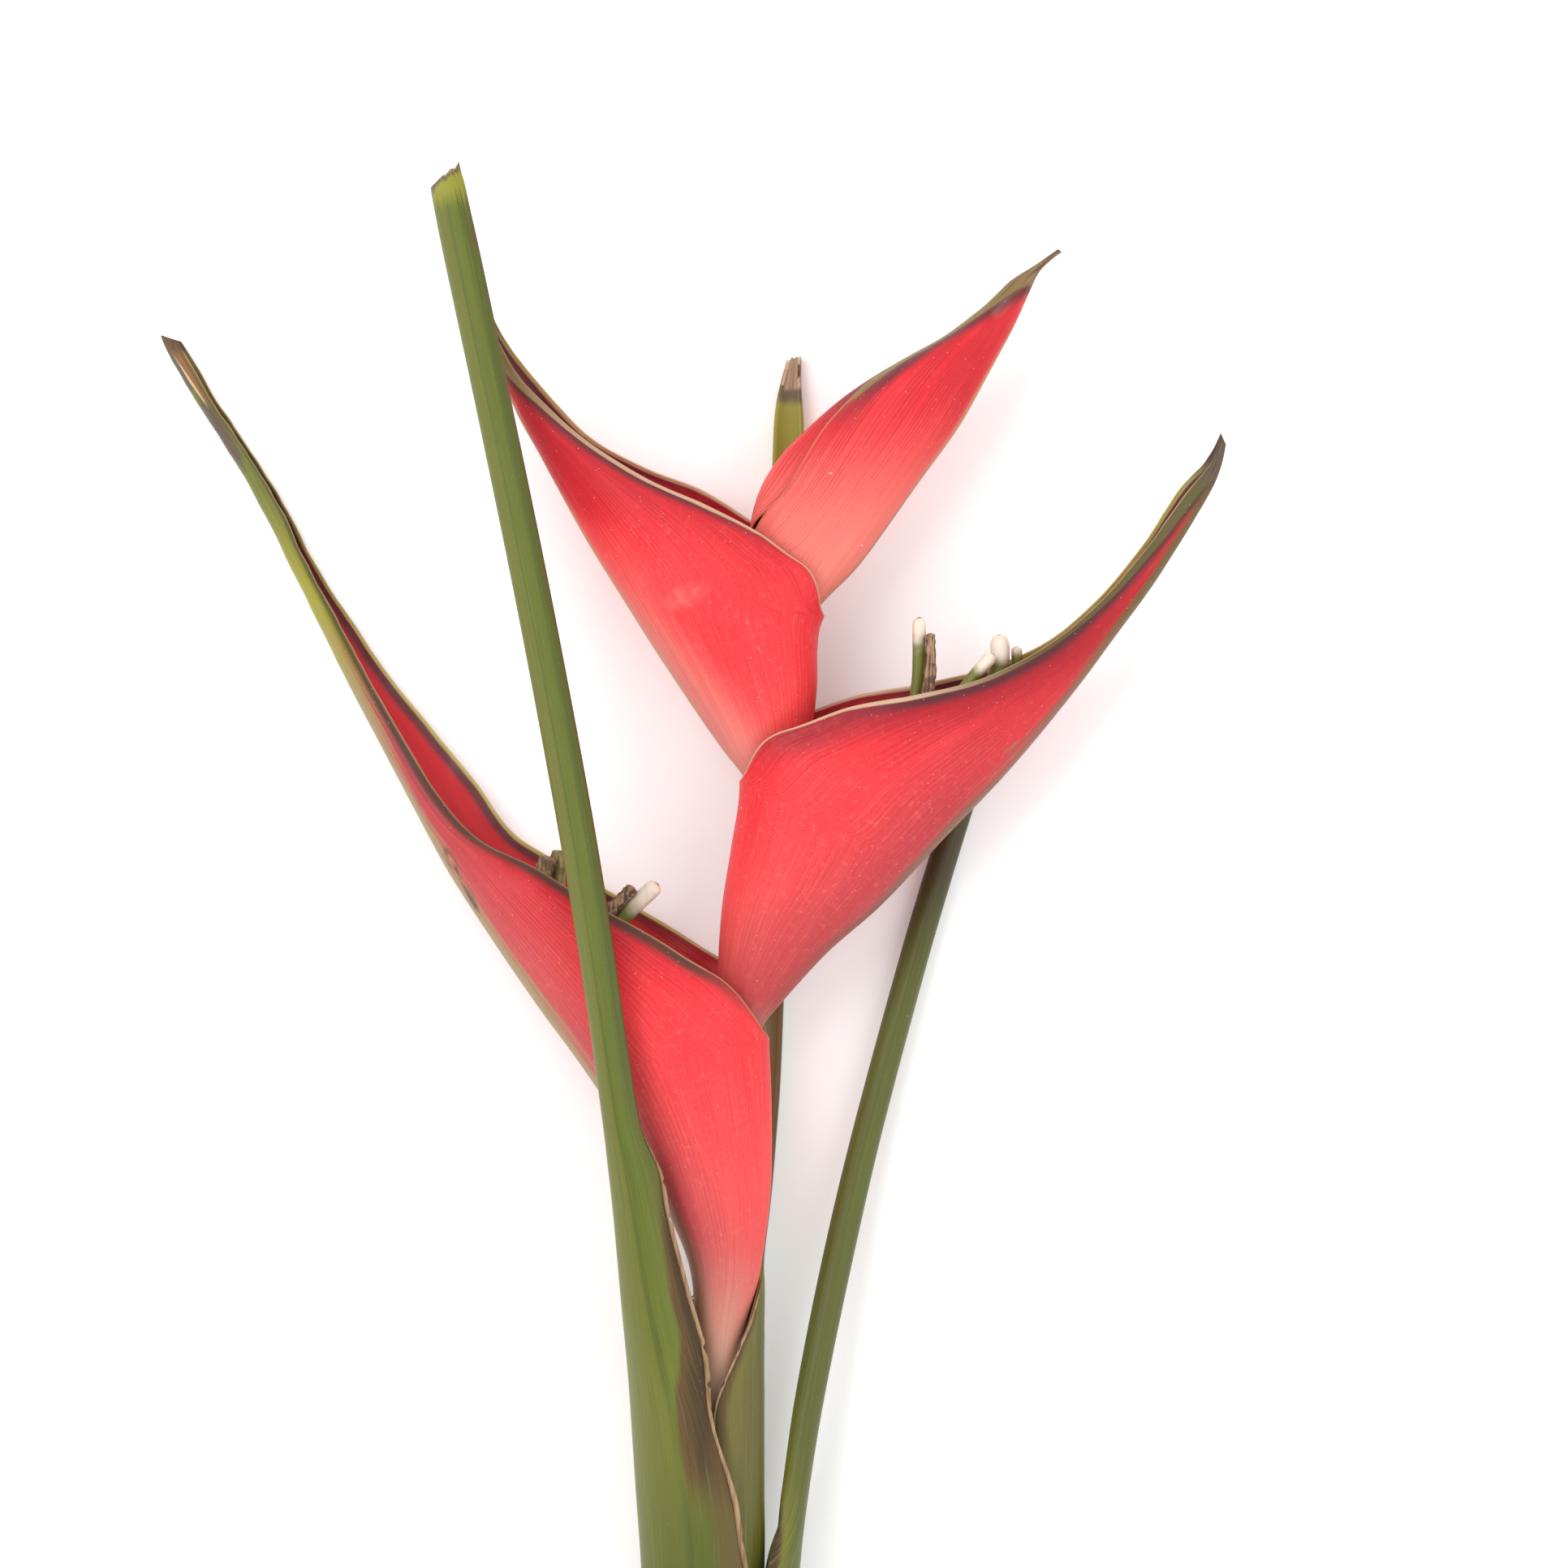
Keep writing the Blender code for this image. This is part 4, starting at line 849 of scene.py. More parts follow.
def bract_mesh(name, rows, crotch, sizes, paints, roll):
    """The outer face of a bract, with what its material needs to know at each point."""
    lines = bract_lines(rows, crotch, sizes.bract_step)
    lengths = keel_lengths(rows)
    tube_length = read_length(lengths, crotch)
    columns = 2 * BRACT_SIDE_STEPS
    last = len(lines) - 1
    blade = bmesh.new()
    bmesh.ops.create_grid(blade, x_segments=columns, y_segments=last, size=1.0)
    keys = ("share", "along", "tip", "keel", "rim", "free")
    layer = {key: blade.verts.layers.float.new(key) for key in keys}
    net = {}
    outs = {}
    for vert in blade.verts:
        column = round((vert.co.x + 1) / 2 * columns)
        line = round((vert.co.y + 1) / 2 * last)
        net[line, column] = vert
        share = column / BRACT_SIDE_STEPS - 1
        station, past = lines[line]
        place = station + (past ** (1 + share ** 2) if station == crotch else past)
        vert.co, outs[vert] = bract_point(bract_cut(rows, crotch, place), share, roll)
        vert[layer["share"]] = abs(share)
        vert[layer["along"]] = read_length(lengths, place)
        vert[layer["tip"]] = lengths[-1] - vert[layer["along"]]
        vert[layer["free"]] = max(0.0, vert[layer["along"]] - tube_length)
    for line in range(last + 1):
        for side in (-1, 1):
            reach = 0.0
            inner = net[line, BRACT_SIDE_STEPS]
            for count in range(1, BRACT_SIDE_STEPS + 1):
                vert = net[line, BRACT_SIDE_STEPS + side * count]
                reach += (vert.co - inner.co).length
                vert[layer["keel"]] = reach
                inner = vert
    rim = [vert.co.copy() for (line, column), vert in net.items()
           if column in (0, columns) and lines[line][0] >= crotch]
    finder = kdtree.KDTree(len(rim))
    for index, spot in enumerate(rim):
        finder.insert(spot, index)
    finder.balance()
    blade.normal_update()
    if sum(face.normal.dot(outs[face.verts[0]]) for face in blade.faces) < 0:
        bmesh.ops.reverse_faces(blade, faces=blade.faces)
    for vert in blade.verts:
        vert[layer["rim"]] = finder.find(vert.co)[2]
    for vert in blade.verts:
        away = vert[layer["rim"]]
        ripple = noise.noise(vert.co * RIPPLE_SCALE)
        ripple += FINE_RIPPLE_SHARE * noise.noise(vert.co * FINE_RIPPLE_SCALE)
        loose = max(0.0, 1 - away / RIM_LOOSE) * min(1.0, vert[layer["free"]] / LOOSE_START)
        swell = BODY_SWELL * noise.noise(vert.co * SWELL_SCALE) * min(1.0, away / RIM_LOOSE)
        vert.co += outs[vert] * (ripple * loose * sizes.margin_wave / MM + swell)
        vert.co.z = max(vert.co.z, 0.0)
    wall = blade.verts.layers.deform.new()
    for vert in blade.verts:
        body = min(1.0, vert[layer["rim"]] / RIM_TAPER)
        vert[wall][0] = min(body, TIP_SHARE + vert[layer["tip"]] / TIP_TAPER)
    bmesh.ops.scale(blade, verts=blade.verts, vec=(MM, MM, MM))
    bmesh.ops.remove_doubles(blade, verts=blade.verts, dist=WELD)
    for face in blade.faces:
        face.smooth = True
    return make_mesh(name, blade, paints)


def add_bract(name, rows, crotch, sizes, paints, roll=0.0):
    """Add one bract with its wall."""
    mesh = bract_mesh(name, rows, crotch, sizes, paints, roll)
    bract = add_piece(name + "_blade", mesh, [name])
    group = bract.vertex_groups.new(name="wall")
    wall = bract.modifiers.new("Wall", "SOLIDIFY")
    wall.thickness = sizes.bract_wall
    wall.offset = -1
    wall.vertex_group = group.name
    wall.thickness_vertex_group = THIN_SHARE
    wall.material_offset = 1
    wall.material_offset_rim = 2
    return bract


def stem_settings():
    """The sizes and the colours that the user can change."""
    scene = bpy.context.scene
    return scene.heliconia_sizes, scene.heliconia_colours


def vein_relief():
    """The height of the veins, which the user can change."""
    return stem_settings()[0].vein_relief


class BractField:
    """What the materials of one bract read at each point, and the patterns they share."""

    def __init__(self, paint, look):
        self.place = paint.place()
        self.share, self.along, self.tip, self.keel, self.rim, self.free = [
            paint.attribute(key) for key in ("share", "along", "tip", "keel", "rim", "free")]
        spot = paint.vector(*self.place)
        self.cloud = paint.noise(spot, 0.032, 2.0)
        self.mottle = paint.noise(spot, 0.55, 3.0, 0.6)
        self.grain = paint.noise(spot, 3.2, 1.0)
        self.streak = self.lengthwise(paint, 34, 0.02, 9.0, 2.0) - 0.5
        self.drift = self.lengthwise(paint, 4, 0.03, 3.0, 2.0) - 0.5
        bow = self.lengthwise(paint, 3, 0.01, 7.0, 0.0)
        path = self.share * look["veins"] + bow * 3
        strength = self.lengthwise(paint, 22, 0.012, 5.0, 1.0)
        self.vein = path.wave() ** 2.5 * strength.ramp(0.3, 0.62)
        self.fine = self.lengthwise(paint, 170, 0.04, 2.0, 1.0)
        self.old = self.tip + self.streak * 18 + self.drift * 12

    def lengthwise(self, paint, across, along, layer, detail):
        """Noise that runs along the bract: how often it turns across it and along it."""
        return paint.noise(paint.vector(self.share * across, self.along * along, layer), 1.0, detail)


def bract_outside(name, shades, look):
    """The outer face of one bract, with painted shade inside its free edge and, on the two lower
    bracts, beside its keel.
    """
    paint = Paint(name)
    field = BractField(paint, look)
    tip, keel, rim, free, streak = field.tip, field.keel, field.rim, field.free, field.streak
    near_rim = rim.ramp(look["deep_width"], 2.0) * (free.ramp(0.0, 45.0) * 0.75 + 0.25)
    near_rim = near_rim.high((tip + streak * 20).ramp(look["deep_tip"], look["deep_tip"] * 0.4))
    deep = (near_rim * look["deep"] + (field.cloud - 0.5) * look["cloud"]).high(0.0).low(1.0)
    base = paint.mix(deep, shades.bract, shades.bract_deep)
    low = field.along + keel * look["glow_keel"] + streak * 14
    glow = low.ramp(look["glow_end"], look["glow_start"])
    base = paint.mix(glow * look["glow"], base, shades.bract_salmon)
    # Rose beside the keel: the bract's own colour, and on the two lower bracts partly painted shade on
    # the keel side.
    blush = (keel + streak * 9).ramp(look["blush_width"], look["blush_width"] * 0.1)
    reach = field.along.ramp(look["blush_stop"], look["blush_stop"] * 0.5)
    base = paint.mix(blush * reach * look["blush"], base, look["blush_shade"])
    # Painted shadow: a wide darkening to vein crimson inside the free edge past the crotch, weaker
    # towards the tip.
    dusk = (rim + streak * 4).ramp(look["dusk_width"], 2.0) * free.ramp(0.0, 20.0)
    dusk = dusk * (tip.ramp(20.0, 70.0) * 0.65 + 0.35)
    base = paint.mix(dusk * look["dusk"], base, shades.bract_vein)
    line = field.vein * (near_rim * 0.45 + 0.17)
    base = paint.mix(line, base, shades.bract_vein)
    base = paint.mix(field.fine.ramp(0.45, 0.8) * (near_rim * 0.3 + 0.17), base, shades.bract_vein)
    middle = 1 - near_rim * 0.7
    for soft in (field.fine.ramp(0.45, 0.2) * 0.25, field.mottle.ramp(0.5, 0.85) * 0.25,
                 field.grain.ramp(0.5, 0.85) * 0.2):
        base = paint.mix(soft * middle, base, shades.bract_salmon)
    foot = (field.along + streak * 16 + keel * 0.3).ramp(look["foot_end"], look["foot_start"])
    base = paint.mix(foot, base, look["foot_shade"])
    slim = (tip / look["slim_tip"]).low(1.0)
    keel_slim = (tip / look["keel_slim"]).low(1.0).high(0.1)
    band = (keel / keel_slim / look["keel_width"] + streak * 1.3).ramp(1.0, 0.45)
    band = band * (field.along.ramp(10.0, look["keel_low"]) * 0.75 + 0.25)
    keel_shade = paint.mix(tip.ramp(100.0, 40.0), look["keel_shade"], look["keel_tip_shade"])
    base = paint.mix(band * look["keel"], base, keel_shade)
    yellow = field.old.ramp(look["yellow_end"], look["yellow_start"])
    base = paint.mix(yellow, base, look["yellow_shade"])
    green = field.old.ramp(look["green_end"], look["green_start"])
    base = paint.mix(green * look["green"], base, look["green_shade"])
    for strength, shade, *oval in look["patches"]:
        mark = paint.patch(field.place, *oval) * (field.mottle * 1.6 + streak * 2 + 0.1)
        base = paint.mix((mark * strength).high(0.0).low(1.0), base, shade)
    gain = tip.ramp(look["lip_gain_end"], 6.0) * look["lip_gain"]
    lip_width = (look["lip_width"] - 0.4) * free.ramp(4.0, 50.0) + 0.4 + gain + field.drift * 0.5
    # Painted shade: a dark band from the lip inwards along the free edge, turning dark olive where the
    # bract yellows towards its tip.
    rim_shadow_end = lip_width + slim * look["band_width"] + streak * 0.8
    rim_shadow = ((rim - rim_shadow_end) / (slim * 1.4 + 0.5)).ramp(1.0, -0.5)
    band_shade = paint.mix(yellow, look["band_shade"], shades.stalk_dark)
    rim_shadow = rim_shadow * free.ramp(look["band_start"], look["band_full"]) * look["band"]
    base = paint.mix(rim_shadow, base, band_shade)
    lip = ((rim - lip_width) / 0.5).ramp(0.6, -0.6) * free.ramp(0.0, 10.0)
    lip_shade = paint.mix(free.ramp(*look["lip_turn"]), look["lip_young"], look["lip_shade"])
    base = paint.mix(lip * look["lip"], base, lip_shade)
    base = paint.mix(rim.ramp(0.5, 0.2) * 0.8, base, look["lip_young"])
    weather = field.lengthwise(paint, 16, 0.2, 2.0, 3.0)
    worn = paint.mix(weather.ramp(0.35, 0.65), shades.dried, look["dried_pale"])
    dried = (tip + field.drift * 9 + streak * 5).ramp(look["dried_end"], look["dried_end"] * 0.45)
    base = paint.mix(dried, base, worn)
    speck = paint.dots(field.place, 0.15, 2.0) * 0.7
    scuff = paint.dots(field.place, 0.3, 9.0, (0.35, 1.0, 0.7)) * 0.6
    marks = speck.high(scuff)
    base = paint.mix(marks, base, shades.floret_white)
    rough = 0.42 + dried * 0.3 + field.grain * 0.08
    height = 0.5 - field.vein * 0.4 - field.fine * 0.3 + field.grain * 0.12 + marks * 0.3
    return paint.finish(base, rough, height + field.mottle * 0.15, vein_relief(),
                        Subsurface_Weight=0.06, Subsurface_Scale=0.002,
                        Specular_IOR_Level=0.28)


def bract_inside(name, shades, look):
    """The inner face of one bract: bright red, with a dark band of painted shade and a cream edge."""
    paint = Paint(name)
    field = BractField(paint, look)
    tip, rim, free = field.tip, field.rim, field.free
    line = field.vein * 0.5 + field.fine.ramp(0.45, 0.8) * 0.3
    base = paint.mix(line, shades.bract_inside, shades.bract_vein)
    base = paint.mix(field.cloud.ramp(0.4, 0.7) * 0.4, base, shades.bract_deep)
    old = field.old.ramp(look["yellow_end"] * 0.7, look["yellow_start"] * 0.5)
    base = paint.mix(old, base, look["inner_old"])
    cream_width = free.ramp(4.0, 50.0) * look["cream_gain"] + 0.5 + field.drift * 0.4
    # Painted shade: a dark band just inside the cream edge.
    rim_shadow = ((rim - cream_width - 1.3) / 2.2).ramp(0.9, 0.0) * free.ramp(12.0, 60.0)
    base = paint.mix(rim_shadow * look["band"], base, shades.bract_band)
    cream = ((rim - cream_width) / 0.6).ramp(0.5, -0.5)
    edge_shade = paint.mix(free.ramp(*look["lip_turn"]), look["lip_young"], shades.bract_cream)
    edge_shade = paint.mix(old, edge_shade, shades.bract_lip)
    base = paint.mix(cream, base, edge_shade)
    dried = tip.ramp(look["dried_end"] * 0.8, look["dried_end"] * 0.3)
    base = paint.mix(dried, base, shades.dried)
    return paint.finish(base, 0.42 + dried * 0.2, 0.5 - line * 0.5, vein_relief(),
                        Subsurface_Weight=0.06, Subsurface_Scale=0.002)


def bract_rim(name, shades, look):
    """The thin cut of a bract's free edge."""
    paint = Paint(name)
    field = BractField(paint, look)
    worn = (field.drift + field.free.ramp(*look["lip_turn"]) * 0.3).ramp(0.0, 0.3)
    base = paint.mix(worn, look["lip_young"], shades.bract_cream)
    old = field.old.ramp(look["yellow_end"], look["yellow_start"])
    base = paint.mix(old * 0.7, base, shades.bract_lip)
    base = paint.mix(field.tip.ramp(look["dried_end"], look["dried_end"] * 0.4), base, shades.dried)
    return paint.finish(base, 0.5 + field.grain * 0.1)


def leaf_outline(cut, ridges):
    """One level cut of a leaf: its points, each with x, z, turn, distance to a margin and side."""
    cx, cz, wide, high, start, end, back, thick, thin, flat, hollow = cut[1:]
    middle = Vector((cx, cz))
    outer = []
    shell = []
    turns = []
    for index in range(RING_OUTER_POINTS):
        angle = start + (end - start) * index / (RING_OUTER_POINTS - 1)
        turn = Vector((math.cos(math.radians(angle)), math.sin(math.radians(angle))))
        raised = sum(height * math.exp(-((angle - at) / spread) ** 2)
                     for at, spread, height in ridges)
        outer.append(middle + Vector(((wide + raised) * turn.x, (high + raised) * turn.y)))
        turns.append(angle / 360)
    narrow_span = min(90.0, (end - start) / 2)
    for index in range(RING_INNER_POINTS):
        angle = start + (end - start) * index / (RING_INNER_POINTS - 1)
        turn = Vector((math.cos(math.radians(angle)), math.sin(math.radians(angle))))
        away = min(1.0, abs(angle - back) / narrow_span)
        wall = thin + (thick - thin) * math.cos(math.pi / 2 * away) ** 2
        shell.append(middle + Vector(((wide - wall) * turn.x, (high - wall) * turn.y)))
    back_turn = Vector((math.cos(math.radians(back)), math.sin(math.radians(back))))
    inner = []
    for index, point in enumerate(shell):
        share = index / (RING_INNER_POINTS - 1)
        chord = shell[0].lerp(shell[-1], share)
        chord += back_turn * hollow * (1 - (2 * share - 1) ** 2)
        inner.append(point.lerp(chord, flat))
        turns.append((start + (end - start) * (1 - share)) / 360)
    ring = []
    for side, points in ((0.0, outer), (1.0, inner[::-1])):
        reach = [0.0]
        for before, after in zip(points, points[1:]):
            reach.append(reach[-1] + (after - before).length)
        for point, length in zip(points, reach):
            ring.append([point.x, point.y, 0.0, min(length, reach[-1] - length), side])
    for point, turn in zip(ring, turns):
        point[2] = turn
    return ring


def leaf_mesh(name, cuts, top_slope, ragged, ridges, step, paints):
    """A leaf stalk with its sheath, lofted through its level cuts, with both ends closed."""
    rings = [flatten(leaf_outline(cut, ridges)) for cut in cuts]
    heights = [cut[0] for cut in cuts]
    places = []
    for index in range(len(cuts) - 1):
        count = max(2, round((heights[index + 1] - heights[index]) * MM / step))
        places.extend(index + share / count for share in range(count))
    places.append(len(cuts) - 1)
    points = RING_OUTER_POINTS + RING_INNER_POINTS
    lines = len(places) - 1
    levels = [blend_rows([[height] for height in heights], place)[0] for place in places]
    top = heights[-1]
    loft = bmesh.new()
    bmesh.ops.create_grid(loft, x_segments=points, y_segments=lines, size=1.0)
    layer = {key: loft.verts.layers.float.new(key) for key in ("turn", "edge", "inner", "top")}
    cache = [blend_rows(rings, place) for place in places]
    for vert in loft.verts:
        column = round((vert.co.x + 1) / 2 * points) % points
        line = round((vert.co.y + 1) / 2 * lines)
        x, z, turn, edge, inner = cache[line][5 * column:5 * column + 5]
        y = levels[line]
        near_top = max(0.0, 1 - (top - y) / SLANT_LENGTH) ** 2
        tear = noise.noise(Vector((x * TEAR_SCALE, z * TEAR_SCALE, 3.0))) * ragged
        lift = near_top * (top_slope * (x - cuts[-1][1]) + tear)
        vert.co = Vector((x, y + lift, max(z, 0.0))) * MM
        vert[layer["turn"]] = turn
        vert[layer["edge"]] = edge
        vert[layer["inner"]] = inner
        vert[layer["top"]] = top - y
    mark_cuts(close_shape(loft))
    return make_mesh(name, loft, paints)


def add_leaf(name, cuts, top_slope, ragged, ridges, sizes, paints):
    """Add one leaf stalk with its sheath."""
    mesh = leaf_mesh(name, cuts, top_slope, ragged, ridges, sizes.leaf_step, paints)
    return add_piece(name + "_stalk", mesh, [name])


def leaf_face(name, shades, look):
    """The skin of a leaf stalk: green with fibres, an old brown margin, and on the front stalk a waxy
    side lit with painted light and a side in painted shade.
    """
    paint = Paint(name)
    place = paint.place()
    turn, edge, inner, top = [paint.attribute(key) for key in ("turn", "edge", "inner", "top")]
    fibre = paint.noise(paint.vector(turn * 150, place[1] * 0.02, 0.0), 1.0, 3.0, 0.6)
    hair = paint.noise(paint.vector(turn * 460, place[1] * 0.05, 4.0), 1.0, 2.0)
    broad = paint.noise(paint.vector(turn * 22, place[1] * 0.01, 5.0), 1.0, 2.0)
    grain = paint.noise(paint.vector(*place), 2.0, 1.0)
    green = paint.mix(broad.ramp(0.3, 0.7) * 0.45, look["main"], look["second"])
    # Side colours: on the front stalk, painted light on its lit left side and painted shade on its
    # right side.
    for start, end, strength, shade in look["sides"]:
        green = paint.mix((turn + (fibre - 0.5) * 0.012).ramp(start, end) * strength, green, shade)
    upper = (place[1] + (fibre - 0.5) * 50).ramp(*look["far"])
    green = paint.mix(upper * look["far_share"], green, look["far_shade"])
    lower = (place[1] + (fibre - 0.5) * 60).ramp(-90.0, -170.0)
    green = paint.mix(lower * 0.75, green, look["low_shade"])
    green = paint.mix(fibre.ramp(0.5, 0.75) * 0.4, green, shades.stalk_dark)
    green = paint.mix(fibre.ramp(0.46, 0.3) * 0.25, green, shades.stalk_yellow)
    green = paint.mix(hair.ramp(0.5, 0.8) * 0.4, green, shades.stalk_dark)
    green = paint.mix(grain.ramp(0.6, 0.85) * 0.16, green, shades.stalk_waxy)
    width = (look["brown_top"] - place[1]) * look["brown_spread"]
    spread = edge + (fibre - 0.5) * 4 + (broad - 0.5) * 1.5 - width
    fade = (place[1] + (fibre - 0.5) * 24).ramp(look["brown_end"] - 12, look["brown_end"] + 4)
    beside = spread.ramp(6.5, 0.0) * fade
    base = paint.mix(beside * look["beside"], green, shades.stalk_yellow)
    close = (edge / width.high(0.5) + (fibre - 0.5) * 2.2).ramp(0.9, 0.35)
    brown = paint.mix(close * 0.85, shades.papery, shades.papery_dark)
    brown = paint.mix(fibre.ramp(0.44, 0.3) * 0.4, brown, shades.papery_edge)
    brown = paint.mix(hair.ramp(0.45, 0.75) * 0.6, brown, shades.papery_dark)
    base = paint.mix(spread.ramp(0.9, -0.9) * fade * look["brown"], base, brown)
    lip = edge.ramp(0.9, 0.45) * place[1].ramp(look["lip_end"] - 6, look["lip_end"] + 6)
    base = paint.mix(lip * 0.75, base, look["lip_shade"])
    pale = paint.mix(fibre.ramp(0.4, 0.7) * 0.4, shades.pith, shades.stalk)
    base = paint.mix(inner.ramp(0.2, 0.8) * look["inner"], base, pale)
    young = (top + (fibre - 0.5) * 14).ramp(look["top_end"], look["top_end"] * 0.4)
    base = paint.mix(young * 0.85, base, shades.stalk_yellow)
    singe = (top + (fibre - 0.5) * 5).ramp(look["singe_end"], look["singe_end"] * 0.8)
    base = paint.mix(singe * 0.85, base, shades.dried)
    torn = (top + (fibre - 0.5) * 3).ramp(look["torn_end"], look["torn_end"] * 0.85)
    strand = paint.mix(fibre.ramp(0.42, 0.6), shades.fibre, shades.papery)
    base = paint.mix(torn, base, strand)
    for strength, shade, *oval in look["patches"]:
        mark = paint.patch(place, *oval) * (0.75 + fibre * 0.5)
        base = paint.mix((mark * strength).low(1.0), base, shade)
    speck = paint.dots(place, 0.13, 1.5, (1.0, 0.55, 1.0)) * 0.5
    scratch = paint.dots(place, 0.22, 7.0, (0.5, 0.9, 0.5)) * 0.7
    marks = speck.high(scratch)
    base = paint.mix(marks, base, shades.papery_edge)
    old = spread.ramp(0.9, -0.9) * fade
    height = fibre * 0.55 + hair * 0.3 + grain * 0.08 + old * (fibre + hair - 1.0) * 0.8
    rough = 0.4 + grain * 0.06 + old * 0.2 + torn * 0.3
    return paint.finish(base, rough, height, vein_relief(), Specular_IOR_Level=0.4)


def cut_face(name, shades):
    """A cut across the stem: pale pith with rows of air channels, darkened with painted shade, and
    brown rims.
    """
    paint = Paint(name)
    place = paint.place()
    cell = paint.cells(paint.vector(place[0], place[2], place[1] * 0.15), 0.9, "DISTANCE_TO_EDGE")
    fibre = paint.noise(paint.vector(place[0] * 1.5, place[1] * 0.2, place[2] * 1.5), 1.0, 3.0)
    # Painted shade: the air channels are darkened where shade would fall inside them.
    channel_shadow = cell.ramp(0.16, 0.34)
    base = paint.mix(channel_shadow * 0.55, shades.pith, shades.stalk_dark)
    base = paint.mix(fibre.ramp(0.45, 0.7) * 0.6, base, shades.papery)
    return paint.finish(base, 0.7, cell.low(0.3) + fibre * 0.3, 0.6 * MM)


def margin_ribbon(name, cuts, corner, start_y, end_y, width, sizes, skin):
    """The thin papery margin of a sheath, which stands out from its edge."""
    heights = [cut[0] for cut in cuts]
    step = sizes.leaf_step / MM * RIBBON_FINER
    levels = []
    y = start_y
    while y <= end_y:
        levels.append(y)
        y += step
    strip = bmesh.new()
    bmesh.ops.create_grid(strip, x_segments=RIBBON_COLUMNS, y_segments=len(levels) - 1, size=1.0)
    edge_layer = strip.verts.layers.float.new("edge")
    for vert in strip.verts:
        column = round((vert.co.x + 1) / 2 * RIBBON_COLUMNS)
        y = levels[round((vert.co.y + 1) / 2 * (len(levels) - 1))]
        low = max(index for index, height in enumerate(heights) if height <= y)
        low = min(low, len(heights) - 2)
        place = low + (y - heights[low]) / (heights[low + 1] - heights[low])
        cut = blend_rows(cuts, place)
        cx, cz, wide, high = cut[1:5]
        angle = math.radians(cut[5] if corner == "start" else cut[6])
        sign = -1 if corner == "start" else 1
        out = Vector((math.cos(angle), 0.0, math.sin(angle)))
        along_skin = Vector((-math.sin(angle), 0.0, math.cos(angle))) * sign
        spot = Vector((cx + wide * out.x, y, cz + high * out.z))
        share = column / RIBBON_COLUMNS
        wave = noise.noise(Vector((y * RIBBON_WAVE_SCALE, share * 0.6, 5.0)))
        nick = max(0.0, noise.noise(Vector((y * NICK_SCALE, 2.0, 9.0))) - NICK_START) * NICK_GAIN
        reach = width * (0.75 + 0.5 * noise.noise(Vector((y * RIBBON_WIDTH_SCALE, 8.0, 1.0))))
        reach *= max(NICK_DEEPEST, 1 - nick) * share
        fade = min(1.0, (y - start_y) / RIBBON_FADE + 0.3, (end_y - y) / RIBBON_FADE)
        spot += along_skin * (reach * max(fade, 0.0) - RIBBON_ROOT)
        spot += out * (RIBBON_LIFT + RIBBON_CURL * share * wave)
        spot.z = max(spot.z, 0.0)
        vert.co = spot * MM
        vert[edge_layer] = share
    for face in strip.faces:
        face.smooth = True
    bmesh.ops.recalc_face_normals(strip, faces=strip.faces)
    ribbon = add_piece(name, make_mesh(name, strip, [skin]), [])
    wall = ribbon.modifiers.new("Wall", "SOLIDIFY")
    wall.thickness = RIBBON_WALL * MM
    wall.offset = 0
    return ribbon


def papery_skin(name, shades):
    """The dry margin of a sheath: tan, with brown fibres."""
    paint = Paint(name)
    place = paint.place()
    edge = paint.attribute("edge")
    fibre = paint.noise(paint.vector(place[0] * 1.6, place[1] * 0.05, place[2] * 1.6), 1.0, 3.0)
    stain = paint.noise(paint.vector(*place), 0.07, 2.0)
    base = paint.mix(fibre.ramp(0.4, 0.7) * 0.7, shades.papery_edge, shades.papery)
    base = paint.mix(stain.ramp(0.5, 0.7) * 0.6, base, shades.papery)
    base = paint.mix(edge.ramp(0.5, 0.0) * 0.5, base, shades.papery)
    return paint.finish(base, 0.68, fibre, 0.15 * MM)


def frames_along(points):
    """A side and an up direction for each point of a route, carried along without a twist."""
    frames_made = []
    side = Vector((1.0, 0.0, 0.0))
    for index in range(len(points)):
        before = points[max(index - 1, 0)]
        after = points[min(index + 1, len(points) - 1)]
        ahead = (after - before).normalized()
        side = (side - ahead * side.dot(ahead)).normalized()
        frames_made.append((side.copy(), ahead.cross(side)))
    return frames_made


def add_tube(shape, points, radii, sides, values, layers):
    """Add a closed round tube to a bmesh, with its numbers stored at each point."""
    lines = len(points) - 1
    made = bmesh.ops.create_grid(shape, x_segments=sides, y_segments=lines, size=1.0)["verts"]
    frames_made = frames_along(points)
    for vert in made:
        column = round((vert.co.x + 1) / 2 * sides) % sides
        line = round((vert.co.y + 1) / 2 * lines)
        angle = 2 * math.pi * column / sides
        side, up = frames_made[line]
        reach = radii(line / lines, angle)
        vert.co = (points[line] + (side * math.cos(angle) + up * math.sin(angle)) * reach) * MM
        for key, value in values(line / lines).items():
            vert[layers[key]] = value


def floret_reach(radius, look, index):
    """How far the skin of one floret lies from its middle line."""
    def reach(place, angle):
        swell = FLORET_NARROW_FOOT + (1 - FLORET_NARROW_FOOT) * min(1.0, place / look["full_at"])
        past = max(0.0, (place - 1 + look["tip"]) / look["tip"])
        closing = max(1 - past ** look["blunt"], 0.0) ** FLORET_ROUNDING
        folds = 1 + look["folds"] * math.cos(3 * angle + 9 * place + index)
        spot = Vector((math.cos(angle) * 2, math.sin(angle) * 2, place * 30 + index))
        worn = 1 + look["rough"] * noise.noise(spot)
        return max(radius * swell * closing * folds * worn * look["size"], FLORET_LEAST)
    return reach


def floret_numbers(look, index):
    """What the skin of one floret needs to know at each point."""
    def numbers(place):
        return {"place": place, "dry": look["dry"], "green": look["green"], "seed": index * 7.3}
    return numbers


